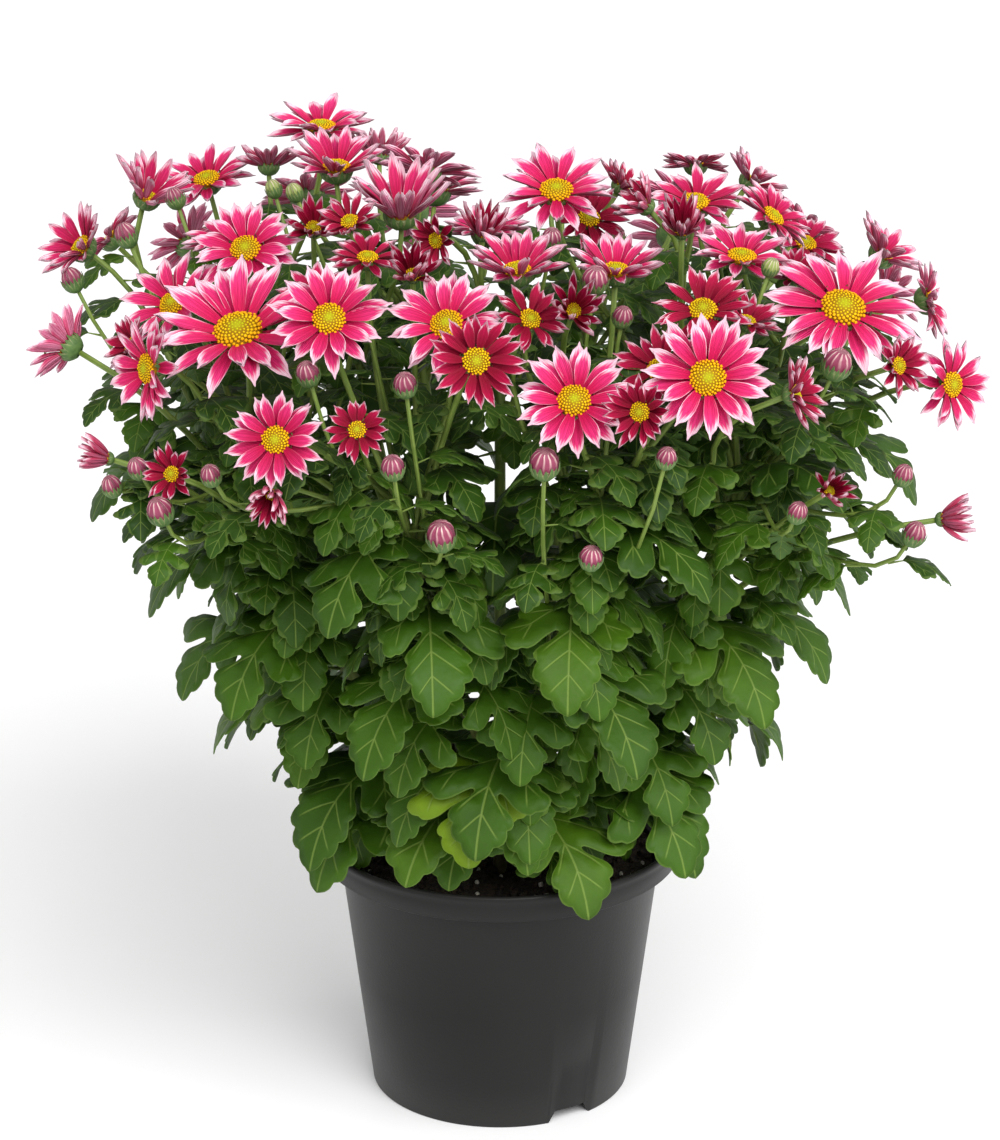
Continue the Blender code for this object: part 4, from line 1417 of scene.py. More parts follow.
@dataclass(frozen=True)
class SolidLeaves:
    """The rule by which the solids' leaves were planned, and the places tried for each."""

    side: tuple[tuple[float, float], ...] = ((0.33, 0.25), (0.47, 0.13), (0.64, 0.34), (0.78, 0.16))
    rib: tuple[float, ...] = (0.30, 0.62, 1.0)
    worst_miss: float = 0.9 * MM
    fold: float = 0.12
    lengths: tuple[float, float] = (76 * MM, 58 * MM)
    branch_shares: tuple[float, ...] = (0.06, 0.29, 0.52, 0.74, 0.94)
    stem_shares: tuple[float, ...] = (0.55, 0.85)
    stagger: float = 0.12
    golden: float = 0.382
    turn: tuple[float, float] = (30, 14)
    pitch: tuple[float, float] = (34, 22)
    bend: tuple[float, float] = (112, 26)
    moves: tuple[tuple[float, float, float], ...] = (
        (0, 0, 1.0),
        (12, 0, 1.0),
        (-12, 0, 1.0),
        (0, 14, 1.0),
        (0, -14, 1.0),
        (22, 8, 0.95),
        (-22, 8, 0.95),
        (22, -10, 0.9),
        (-22, -10, 0.9),
        (0, 28, 0.9),
        (35, 0, 0.85),
        (-35, 0, 0.85),
        (0, 0, 0.75),
        (18, 18, 0.75),
        (-18, 18, 0.75),
        (18, -20, 0.7),
        (-18, -20, 0.7),
        (48, 10, 0.7),
        (-48, 10, 0.7),
    )

    def outline(self, leaf: Leaf) -> Array:
        """The lobes' tips and the leaf's tip, as its solid has them, in the row's frame."""
        lobes = [(along, side * out) for along, out in self.side for side in (1, -1)]
        spots = np.array((*lobes, (1.0, 0.0)))
        points = leaf.bent(spots[:, 0], spots[:, 1], self.fold * np.abs(spots[:, 1]))
        return leaf.place.of(points)

    def coarse(self, leaf: Leaf) -> tuple[Array, list[tuple[int, ...]]]:
        """A leaf's blade in few faces, without its stalk, for testing whether it is clear."""
        side, rib = np.array(self.side), np.array(self.rib)
        flat = np.concatenate((np.stack((rib, 0 * rib), axis=1), side * (1, -1), side))
        points = leaf.bent(flat[:, 0], flat[:, 1], self.fold * np.abs(flat[:, 1]))
        faces = []
        for first in (3, 7):
            faces += [(0, first, first + 1), (0, first + 1, 1), (1, first + 1, first + 2)]
            faces += [(1, first + 2, first + 3), (1, first + 3, 2)]
        return leaf.place.of(points), faces

    def planned(self, branch: int) -> Iterator[Leaf]:
        """The leaves that the solids' rule plans on a branch, before they find room."""
        shares = self.branch_shares if RULES.side_of(branch) else self.stem_shares
        for number, share in enumerate(shares):
            stagger = (branch * self.golden) % 1 - 0.5
            share = min(0.97, max(0.03, share + self.stagger * stagger))
            root = RULES.point(branch, share)
            side = 1 if (branch + number) % 2 else -1
            turn, pitch, bend = (
                at_foot - less * share for at_foot, less in (self.turn, self.pitch, self.bend)
            )
            length = self.lengths[0] + (self.lengths[1] - self.lengths[0]) * share
            azimuth = azimuth_of(root) + side * turn
            yield Leaf(root, azimuth, pitch, length, bend, seed=branch * 9 + number)

    def found(self, branch: int) -> Iterator[Leaf]:
        """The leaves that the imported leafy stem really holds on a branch."""
        solid = SOLIDS[f"leafy_stem_{RULES.stem_of(branch) + 1}"]
        for plan in self.planned(branch):
            tried = [plan.moved(*move) for move in self.moves]
            misses = [float(solid.nearest(self.outline(leaf)).mean()) for leaf in tried]
            best = int(np.argmin(misses))
            if misses[best] < self.worst_miss:
                yield tried[best]


@dataclass
class Room:
    """What stands in the plant so far, for testing whether a new leaf is clear of it."""

    trees: list[BVHTree] = field(default_factory=list)
    boxes: list[tuple[Array, Array]] = field(default_factory=list)

    @classmethod
    def of_solids(cls) -> "Room":
        """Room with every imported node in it."""
        room = cls()
        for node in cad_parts.values():
            points = np.array([vertex.co for vertex in node.data.vertices])
            room.take(points, [tuple(face.vertices) for face in node.data.polygons])
        return room

    def take(self, points: Array, faces: Sequence[tuple[int, ...]]) -> None:
        """Adds a shape."""
        self.trees.append(BVHTree.FromPolygons(points.tolist(), faces))
        self.boxes.append((points.min(axis=0), points.max(axis=0)))

    def clear(self, points: Array, faces: Sequence[tuple[int, ...]]) -> bool:
        """Whether a shape crosses nothing, tested where the boxes of both overlap."""
        low, high = np.array(self.boxes).transpose(1, 0, 2)
        near = ((low < points.max(axis=0)) & (high > points.min(axis=0))).all(axis=1)
        tree = BVHTree.FromPolygons(points.tolist(), faces)
        return not any(tree.overlap(self.trees[number]) for number in np.flatnonzero(near))


@dataclass(frozen=True)
class Filling:
    """The finer leaves that fill the plant between the ones of its solids."""

    branch_leaves: int = 17
    stem_leaves: int = 10
    stalk_shares: tuple[float, ...] = (0.12, 0.26, 0.4, 0.54, 0.68, 0.82)
    tries: int = 30
    long: float = 62 * MM
    short: float = 40 * MM
    small: float = 38 * MM
    golden: float = 137.5
    branch_start: float = 0.05
    stem_start: float = 0.12
    end: float = 0.98
    pitch: tuple[float, float] = (26, 22)
    bend: float = 98
    stalk_pitch: float = 18
    stalk_bend: float = 80
    least_stalk: float = 45 * MM
    turn: tuple[float, float] = (10, 3.0)
    lift: float = 0.45
    shrink: float = 0.02

    def planned(self, routes: Sequence[Array]) -> Iterator[Leaf]:
        """Leaves on the branches by the golden angle, and smaller ones on the longer stalks.

        Args:
            routes: Control points of the stalks.

        Returns:
            The leaves before they find room.
        """
        number = 0
        for branch in RULES.branches:
            count = self.branch_leaves if RULES.side_of(branch) else self.stem_leaves
            low = self.branch_start if RULES.side_of(branch) else self.stem_start
            for share in np.linspace(low, self.end, count):
                number += 1
                root = RULES.point(branch, float(share))
                azimuth = azimuth_of(root) + (((number * self.golden) % 200) - 100)
                pitch = self.pitch[0] - self.pitch[1] * share
                length = self.long + (self.short - self.long) * share
                yield Leaf(root, azimuth, pitch, length, self.bend, 0, number)
        for route in routes:
            if np.linalg.norm(route[3] - route[0]) < self.least_stalk:
                continue
            spots = np.round(50 * np.array(self.stalk_shares)).astype(int)
            for share, root in zip(self.stalk_shares, cubic(route, 51)[spots]):
                number += 1
                azimuth = azimuth_of(root) + ((number * self.golden) % 360 - 180)
                length = self.small * (1.15 - 0.55 * share)
                yield Leaf(root, azimuth, self.stalk_pitch, length, self.stalk_bend, 0, number)

    def grown(self, routes: Sequence[Array]) -> Iterator[Leaf]:
        """The planned leaves that find room among the solids and the leaves so far.

        Args:
            routes: Control points of the stalks.

        Returns:
            Each leaf that has room.
        """
        room = Room.of_solids()
        draws = np.random.default_rng(77)
        for plan in self.planned(routes):
            for attempt in range(self.tries):
                reach = self.turn[0] + self.turn[1] * attempt
                turn, lift = draws.normal(size=2) * (reach, self.lift * reach) * min(attempt, 1)
                leaf = plan.moved(turn, lift, 1.0 - self.shrink * attempt)
                shape = SOLID_LEAVES.coarse(leaf)
                if room.clear(*shape):
                    room.take(*shape)
                    yield leaf
                    break


# Finishes


class Nodes:
    """Adds shader nodes to one tree; each method returns the new node's output."""

    def __init__(self, tree: bpy.types.NodeTree) -> None:
        """Keeps the tree that the nodes go to."""
        self.tree = tree

    def add(
        self, kind: str, inputs: dict[int | str, Value], output: int | str = 0, **settings: object
    ) -> Socket:
        """One node.

        Args:
            kind: The node's type, without its ShaderNode prefix.
            inputs: Values or sockets for its inputs.
            output: Which of its outputs to return.
            **settings: The node's own properties.

        Returns:
            The output.
        """
        node = self.tree.nodes.new(f"ShaderNode{kind}")
        for name, setting in settings.items():
            setattr(node, name, setting)
        for name, value in inputs.items():
            if isinstance(value, Socket):
                self.tree.links.new(value, node.inputs[name])
            else:
                node.inputs[name].default_value = value
        return node.outputs[output]

    def maths(self, operation: str, *values: Value) -> Socket:
        """A Math node on up to three values, clamped to 0 to 1 if its name ends in a dot."""
        clamp = operation.endswith(".")
        inputs = dict(enumerate(values))
        return self.add("Math", inputs, operation=operation.rstrip("."), use_clamp=clamp)

    def ease(self, value: Value, low: float, high: float) -> Socket:
        """0 below the low value, 1 above the high one, and a smooth step between them."""
        inputs = {"Value": value, "From Min": low, "From Max": high}
        return self.add("MapRange", inputs, interpolation_type="SMOOTHSTEP")

    def mix(self, share: Value, first: Value, second: Value) -> Socket:
        """The first colour blended into the second."""
        first, second = (
            value if isinstance(value, Socket) else (*value, 1.0) for value in (first, second)
        )
        return self.add("Mix", {0: share, 6: first, 7: second}, 2, data_type="RGBA")

    def mark(self, name: str) -> Socket:
        """The piece's own mark of this name."""
        return self.add("Attribute", {}, "Fac", attribute_name=name)

    def marks(self) -> list[Socket]:
        """The piece's marks along, across, side and tint."""
        return [self.mark(name) for name in MARKS[:4]]

    def spots(self, scale: float, detail: float = 3.0) -> Socket:
        """Noise on the piece's own coordinates, about 0 to 1."""
        place = self.add("TexCoord", {}, "Object")
        return self.add("TexNoise", {"Vector": place, "Scale": scale, "Detail": detail})

    def bump(self, height: Socket, distance: float, strength: float = 1.0) -> Socket:
        """The normal that a height gives, with its relief in metres."""
        inputs = {"Height": height, "Distance": distance, "Strength": strength}
        return self.add("Bump", inputs)

    def times(self, first: Value, second: Value) -> Socket:
        """The product of two values."""
        return self.maths("MULTIPLY", first, second)

    def times_plus(self, first: Value, second: Value, added: Value) -> Socket:
        """The product of two values, plus a third."""
        return self.maths("MULTIPLY_ADD", first, second, added)

    def mottle(self, scale: float, contrast: float) -> Socket:
        """The soft patches that all materials share, at this scale and contrast."""
        inputs = {"Scale": scale, "Contrast": contrast}
        return self.add("Group", inputs, "Mask", node_tree=MOTTLE)

    def streaks(self, across: Socket, count: float, sway: float) -> Socket:
        """The lengthwise lines that petals and buds share, this many and bent by this sway."""
        inputs = {"Across": across, "Count": count, "Sway": sway}
        return self.add("Group", inputs, "Mask", node_tree=STREAKS)


def new_group(name: str, inputs: Sequence[str], outputs: Sequence[str]) -> bpy.types.NodeTree:
    """An empty node group with number sockets, and its input and output nodes."""
    tree = bpy.data.node_groups.new(name, "ShaderNodeTree")
    for socket in inputs:
        tree.interface.new_socket(socket, in_out="INPUT", socket_type="NodeSocketFloat")
    for socket in outputs:
        tree.interface.new_socket(socket, in_out="OUTPUT", socket_type="NodeSocketFloat")
    tree.nodes.new("NodeGroupInput")
    tree.nodes.new("NodeGroupOutput")
    return tree


def mottle_group() -> bpy.types.NodeTree:
    """Soft patches on the piece's own coordinates: noise of this Scale, with this Contrast."""
    tree = new_group("mottle", ("Scale", "Contrast"), ("Mask",))
    nodes = Nodes(tree)
    given = tree.nodes["Group Input"].outputs
    place = nodes.add("TexCoord", {}, "Object")
    noise = nodes.add("TexNoise", {"Vector": place, "Scale": given["Scale"], "Detail": 4.0})
    centred = nodes.maths("SUBTRACT", noise, 0.5)
    mask = nodes.maths("MULTIPLY_ADD.", centred, given["Contrast"], 0.5)
    tree.links.new(mask, tree.nodes["Group Output"].inputs["Mask"])
    return tree


def streak_group() -> bpy.types.NodeTree:
    """Lengthwise lines: a sine of Across times Count, which noise bends by Sway."""
    tree = new_group("streaks", ("Across", "Count", "Sway"), ("Mask",))
    nodes = Nodes(tree)
    given = tree.nodes["Group Input"].outputs
    noise = nodes.times(nodes.spots(160.0, 1.0), given["Sway"])
    turns = nodes.times_plus(given["Across"], given["Count"], noise)
    wave = nodes.maths("SINE", nodes.times(turns, math.pi))
    mask = nodes.times_plus(wave, 0.5, 0.5)
    tree.links.new(mask, tree.nodes["Group Output"].inputs["Mask"])
    return tree


MOTTLE = mottle_group()
STREAKS = streak_group()


@dataclass(frozen=True)
class Finish:
    """What every finish shares: its name and the values on its shader's own sockets."""

    name: str
    roughness: float = 0.5
    specular: float = 0.5

    def material(self) -> bpy.types.Material:
        """The finish as a material, with its colour, roughness and normal from nodes."""
        material = bpy.data.materials.new(self.name)
        material.use_nodes = True
        shader = material.node_tree.nodes["Principled BSDF"]
        nodes = Nodes(material.node_tree)
        shader.inputs["Specular IOR Level"].default_value = self.specular
        for socket, value in self.values(nodes).items():
            material.node_tree.links.new(value, shader.inputs[socket])
        return material

    def values(self, nodes: Nodes) -> dict[str, Socket]:
        """The sockets that this finish's nodes drive."""
        raise NotImplementedError


@dataclass(frozen=True)
class PetalFinish(Finish):
    """Soft petals: deep at the root, pink in the middle, with a white margin and tip."""

    crimson: Colour = (0.27, 0.002, 0.024)
    magenta: Colour = (0.62, 0.006, 0.084)
    pink: Colour = (0.83, 0.046, 0.240)
    margin: Colour = (0.94, 0.66, 0.76)
    reverse: Colour = (0.78, 0.29, 0.45)

    def values(self, nodes: Nodes) -> dict[str, Socket]:
        """Blends the colours along and across the petal; younger ones are deeper in colour.

        The white margin grows with the square of the distance across and, over the outer
        half, with the distance along, and lengthwise streaks carry it inward. The reverse is
        dusty mauve, streaked with the face's colour.
        """
        along, across, side, tint = nodes.marks()
        streaks = nodes.streaks(across, 5.0, 2.2)
        patches = nodes.mottle(90.0, 1.6)
        deep = nodes.mix(nodes.ease(along, 0.08, 0.75), self.magenta, self.pink)
        deep = nodes.mix(nodes.maths("MULTIPLY.", patches, 0.55), deep, self.magenta)
        young = nodes.mix(nodes.ease(along, 0.2, 1.0), self.crimson, self.magenta)
        face = nodes.mix(nodes.ease(tint, 0.0, 0.85), deep, young)
        face = nodes.mix(nodes.times(streaks, 0.30), face, self.crimson)
        edge = nodes.times(nodes.maths("POWER", across, 2.0), 0.52)
        edge = nodes.times_plus(nodes.ease(along, 0.42, 1.02), 0.78, edge)
        edge = nodes.times_plus(streaks, 0.16, edge)
        edge = nodes.times_plus(tint, -0.26, edge)
        white = nodes.times(nodes.ease(edge, 0.38, 0.80), nodes.ease(along, 0.05, 0.3))
        upper = nodes.mix(nodes.times(white, 0.94), face, self.margin)
        under = nodes.mix(nodes.times(streaks, 0.55), self.reverse, face)
        under = nodes.mix(nodes.times(tint, 0.5), under, face)
        colour = nodes.mix(side, upper, under)
        rough = nodes.times_plus(patches, 0.12, self.roughness)
        fine = nodes.streaks(across, 9.0, 0.8)
        return {
            "Base Color": colour,
            "Roughness": rough,
            "Normal": nodes.bump(fine, 0.00035, 0.7),
        }


@dataclass(frozen=True)
class FloretFinish(Finish):
    """The disc: lime in the middle, yellow round it and golden orange florets at its rim."""

    lime: Colour = (0.46, 0.50, 0.010)
    yellow: Colour = (0.78, 0.54, 0.006)
    gold: Colour = (0.80, 0.39, 0.003)
    shade: Colour = (0.27, 0.14, 0.003)

    def values(self, nodes: Nodes) -> dict[str, Socket]:
        """Blends the three colours out from the middle, and darkens the florets' feet."""
        along, across, _, tint = nodes.marks()
        grain = nodes.mottle(900.0, 1.8)
        out = nodes.times_plus(grain, 0.12, across)
        out = nodes.times_plus(tint, -0.2, out)
        colour = nodes.mix(nodes.ease(out, 0.25, 0.62), self.lime, self.yellow)
        colour = nodes.mix(nodes.ease(out, 0.62, 0.95), colour, self.gold)
        middle = nodes.times(nodes.ease(across, 0.5, 0.0), 0.6)
        lit = nodes.maths("ADD.", nodes.ease(along, 0.0, 0.7), middle)
        colour = nodes.mix(lit, self.shade, colour)
        rough = nodes.times_plus(grain, 0.2, self.roughness)
        return {
            "Base Color": colour,
            "Roughness": rough,
            "Normal": nodes.bump(grain, 0.0002, 0.5),
        }


@dataclass(frozen=True)
class BudFinish(Finish):
    """Furled petals of a bud: dusty rose with cream streaks that meet at its top."""

    rose: Colour = (0.30, 0.044, 0.105)
    plum: Colour = (0.17, 0.012, 0.045)
    cream: Colour = (0.74, 0.56, 0.50)
    green: Colour = (0.24, 0.30, 0.07)

    def values(self, nodes: Nodes) -> dict[str, Socket]:
        """Uneven streaks along the furled ribs over rose, with plum at the foot.

        Buds of a low tint are still green.
        """
        along, across, _, tint = nodes.marks()
        streaks = nodes.streaks(across, 22.0, 1.6)
        patches = nodes.mottle(330.0, 2.4)
        body = nodes.mix(nodes.ease(along, 0.35, 0.9), self.plum, self.rose)
        body = nodes.mix(nodes.times(patches, 0.7), body, self.plum)
        body = nodes.mix(nodes.ease(tint, 0.6, 0.2), body, self.green)
        star = nodes.times(nodes.ease(streaks, 0.62, 1.0), nodes.ease(along, 0.45, 0.95))
        star = nodes.times(star, nodes.times_plus(patches, -0.6, 0.95))
        return {
            "Base Color": nodes.mix(star, body, self.cream),
            "Roughness": nodes.times_plus(patches, 0.15, self.roughness),
            "Normal": nodes.bump(streaks, 0.0003, 0.7),
        }


@dataclass(frozen=True)
class BractFinish(Finish):
    """Overlapping calyx scales: grey green with a pale, slightly brown edge."""

    green: Colour = (0.11, 0.20, 0.045)
    dark: Colour = (0.035, 0.09, 0.018)
    edge: Colour = (0.36, 0.33, 0.16)

    def values(self, nodes: Nodes) -> dict[str, Socket]:
        """Darkens the middle of each scale and pales its edge and tip."""
        along, across, _, _ = nodes.marks()
        patches = nodes.mottle(420.0, 1.6)
        colour = nodes.mix(patches, self.dark, self.green)
        border = nodes.times(nodes.ease(across, 0.55, 1.0), nodes.ease(along, 0.25, 0.9))
        return {
            "Base Color": nodes.mix(nodes.times(border, 0.8), colour, self.edge),
            "Roughness": nodes.times_plus(patches, 0.2, self.roughness),
            "Normal": nodes.bump(patches, 0.0004, 0.6),
        }


@dataclass(frozen=True)
class LeafFinish(Finish):
    """Satin blades: deep green, yellower low down, with pale veins and a thin pale edge."""

    deep: Colour = (0.013, 0.041, 0.002)
    green: Colour = (0.041, 0.106, 0.003)
    fresh: Colour = (0.150, 0.250, 0.006)
    under: Colour = (0.070, 0.140, 0.030)
    vein: Colour = (0.170, 0.250, 0.045)
    cut: Cut = Cut.FIVE
    line: float = 0.0075

    def values(self, nodes: Nodes) -> dict[str, Socket]:
        """Colours the blade by its tint, and pales its veins and its border.

        The mark edge is 1 on the border and falls to 0 over the triangles beside it, so that
        a high step draws a thin line.
        """
        along, across, side, tint = nodes.marks()
        patches = nodes.mottle(55.0, 2.2)
        fine = nodes.mottle(420.0, 1.6)
        blade = nodes.mix(nodes.ease(tint, 0.0, 0.5), self.deep, self.green)
        blade = nodes.mix(nodes.ease(tint, 0.55, 1.0), blade, self.fresh)
        blade = nodes.mix(nodes.times(patches, 0.5), blade, self.deep)
        veins = nodes.times(self.veins(nodes, along, across), 0.52)
        rim = nodes.times(nodes.ease(nodes.mark("edge"), 0.84, 0.97), 0.28)
        upper = nodes.mix(nodes.maths("MAXIMUM", veins, rim), blade, self.vein)
        below = nodes.mix(nodes.times(patches, 0.5), self.under, blade)
        below = nodes.mix(veins, below, self.vein)
        height = nodes.times_plus(fine, 0.35, nodes.times(veins, -0.9))
        return {
            "Base Color": nodes.mix(side, upper, below),
            "Roughness": nodes.times_plus(fine, 0.16, self.roughness),
            "Normal": nodes.bump(height, 0.0006, 0.6),
        }

    def veins(self, nodes: Nodes, along: Socket, across: Socket) -> Socket:
        """The mask of the midrib and the side veins.

        Formula: a spot's products with a vein's direction and with the line at right angles
        to it tell how far it has come along the vein and how far beside it lies. The mask is
        1 within the vein's width, and fades beside it and over its last third.

        Args:
            nodes: The material's nodes.
            along: The mark along.
            across: The mark across, the same on both halves.

        Returns:
            The mask.
        """
        spot = nodes.add("CombineXYZ", {0: along, 1: across})
        mask = nodes.ease(across, 1.2 * self.line, 0.4 * self.line)
        for start, end in self.cut.veins:
            start, run = np.array(start), np.subtract(end, start)
            length = float(np.linalg.norm(run))
            ahead = run / length
            beside = np.array((-ahead[1], ahead[0]))
            walked, off = (
                nodes.add("VectorMath", {0: spot, 1: (*way, 0.0)}, "Value", operation="DOT_PRODUCT")
                for way in (ahead, beside)
            )
            gone = nodes.maths("SUBTRACT", walked, float(ahead @ start))
            away = nodes.maths("ABSOLUTE", nodes.maths("SUBTRACT", off, float(beside @ start)))
            line = nodes.ease(away, self.line, 0.25 * self.line)
            line = nodes.times(line, nodes.ease(gone, length, 0.66 * length))
            line = nodes.times(line, nodes.ease(gone, -self.line, 0.0))
            mask = nodes.maths("MAXIMUM", mask, line)
        return mask


@dataclass(frozen=True)
class StemFinish(Finish):
    """Ribbed green stems, paler along the ribs, a little brown low down."""

    green: Colour = (0.110, 0.175, 0.020)
    pale: Colour = (0.250, 0.330, 0.065)
    brown: Colour = (0.075, 0.060, 0.022)

    def values(self, nodes: Nodes) -> dict[str, Socket]:
        """Pales the ribs, and browns the branches towards their feet."""
        along, across, _, tint = nodes.marks()
        patches = nodes.mottle(140.0, 2.0)
        colour = nodes.mix(nodes.times(across, patches), self.green, self.pale)
        woody = nodes.times(nodes.ease(along, 0.7, 0.0), tint)
        return {
            "Base Color": nodes.mix(woody, colour, self.brown),
            "Roughness": nodes.times_plus(patches, 0.2, self.roughness),
            "Normal": nodes.bump(patches, 0.0004, 0.5),
        }


@dataclass(frozen=True)
class SoilFinish(Finish):
    """Moist potting mix: near black, with brown fibres."""

    dark: Colour = (0.010, 0.007, 0.005)
    brown: Colour = (0.060, 0.037, 0.020)

    def values(self, nodes: Nodes) -> dict[str, Socket]:
        """Brown fibres where fine noise peaks, over a rough dark ground."""
        grain = nodes.mottle(480.0, 2.6)
        lumps = nodes.mottle(120.0, 2.0)
        share = nodes.times(grain, lumps)
        height = nodes.times_plus(grain, 0.5, lumps)
        return {
            "Base Color": nodes.mix(share, self.dark, self.brown),
            "Roughness": nodes.times_plus(grain, 0.08, self.roughness),
            "Normal": nodes.bump(height, 0.0012, 0.9),
        }


@dataclass(frozen=True)
class GrainFinish(Finish):
    """Perlite grains: chalky off-white, dusted with soil."""

    white: Colour = (0.70, 0.68, 0.62)
    dusty: Colour = (0.30, 0.26, 0.20)

    def values(self, nodes: Nodes) -> dict[str, Socket]:
        """Dust in the hollows of the grains."""
        patches = nodes.mottle(700.0, 2.2)
        return {
            "Base Color": nodes.mix(patches, self.white, self.dusty),
            "Roughness": nodes.times_plus(patches, 0.1, self.roughness),
            "Normal": nodes.bump(patches, 0.0004, 0.8),
        }


@dataclass(frozen=True)
class PlasticFinish(Finish):
    """Moulded black plastic: satin, faintly scuffed, a little dusty near the floor, with a painted
    highlight along the top of its lip.
    """

    black: Colour = (0.0075, 0.0072, 0.0070)
    # the lighter tone of the scuffs and the dust, which also paints the highlight on the lip
    scuff_dust_and_highlight: Colour = (0.022, 0.021, 0.020)

    def values(self, nodes: Nodes) -> dict[str, Socket]:
        """Fine moulding grain, long soft patches round the wall, dust low down, and a painted
        highlight on the lip's top.
        """
        grain = nodes.mottle(900.0, 1.2)
        patches = nodes.mottle(22.0, 1.6)
        place = nodes.add("TexCoord", {}, "Object")
        height = nodes.add("SeparateXYZ", {0: place}, "Z")
        low = nodes.times(nodes.ease(height, 0.02, 0.0), 0.5)
        # painted highlight: the flat top of the lip is lightened where light catches it
        lip = nodes.times(nodes.ease(height, 0.1040, 0.1048), 0.6)
        # real scuffs and dust, together with the lip's painted highlight
        scuffs_dust_and_lip_highlight = nodes.times_plus(patches, 0.22, nodes.maths("MAXIMUM", low, lip))
        rough = nodes.times_plus(patches, 0.10, self.roughness)
        return {
            "Base Color": nodes.mix(scuffs_dust_and_lip_highlight, self.black, self.scuff_dust_and_highlight),
            "Roughness": nodes.times_plus(grain, 0.05, rough),
            "Normal": nodes.bump(grain, 0.00008, 0.5),
        }


@dataclass(frozen=True)
class FloorFinish(Finish):
    """The plain pale floor."""

    white: Colour = (0.90, 0.90, 0.90)

    def values(self, nodes: Nodes) -> dict[str, Socket]:
        """One pale tone with hardly any patches."""
        patches = nodes.mottle(2.0, 0.5)
        shade = tuple(0.99 * part for part in self.white)
        return {"Base Color": nodes.mix(patches, self.white, shade)}


# Sub-assemblies


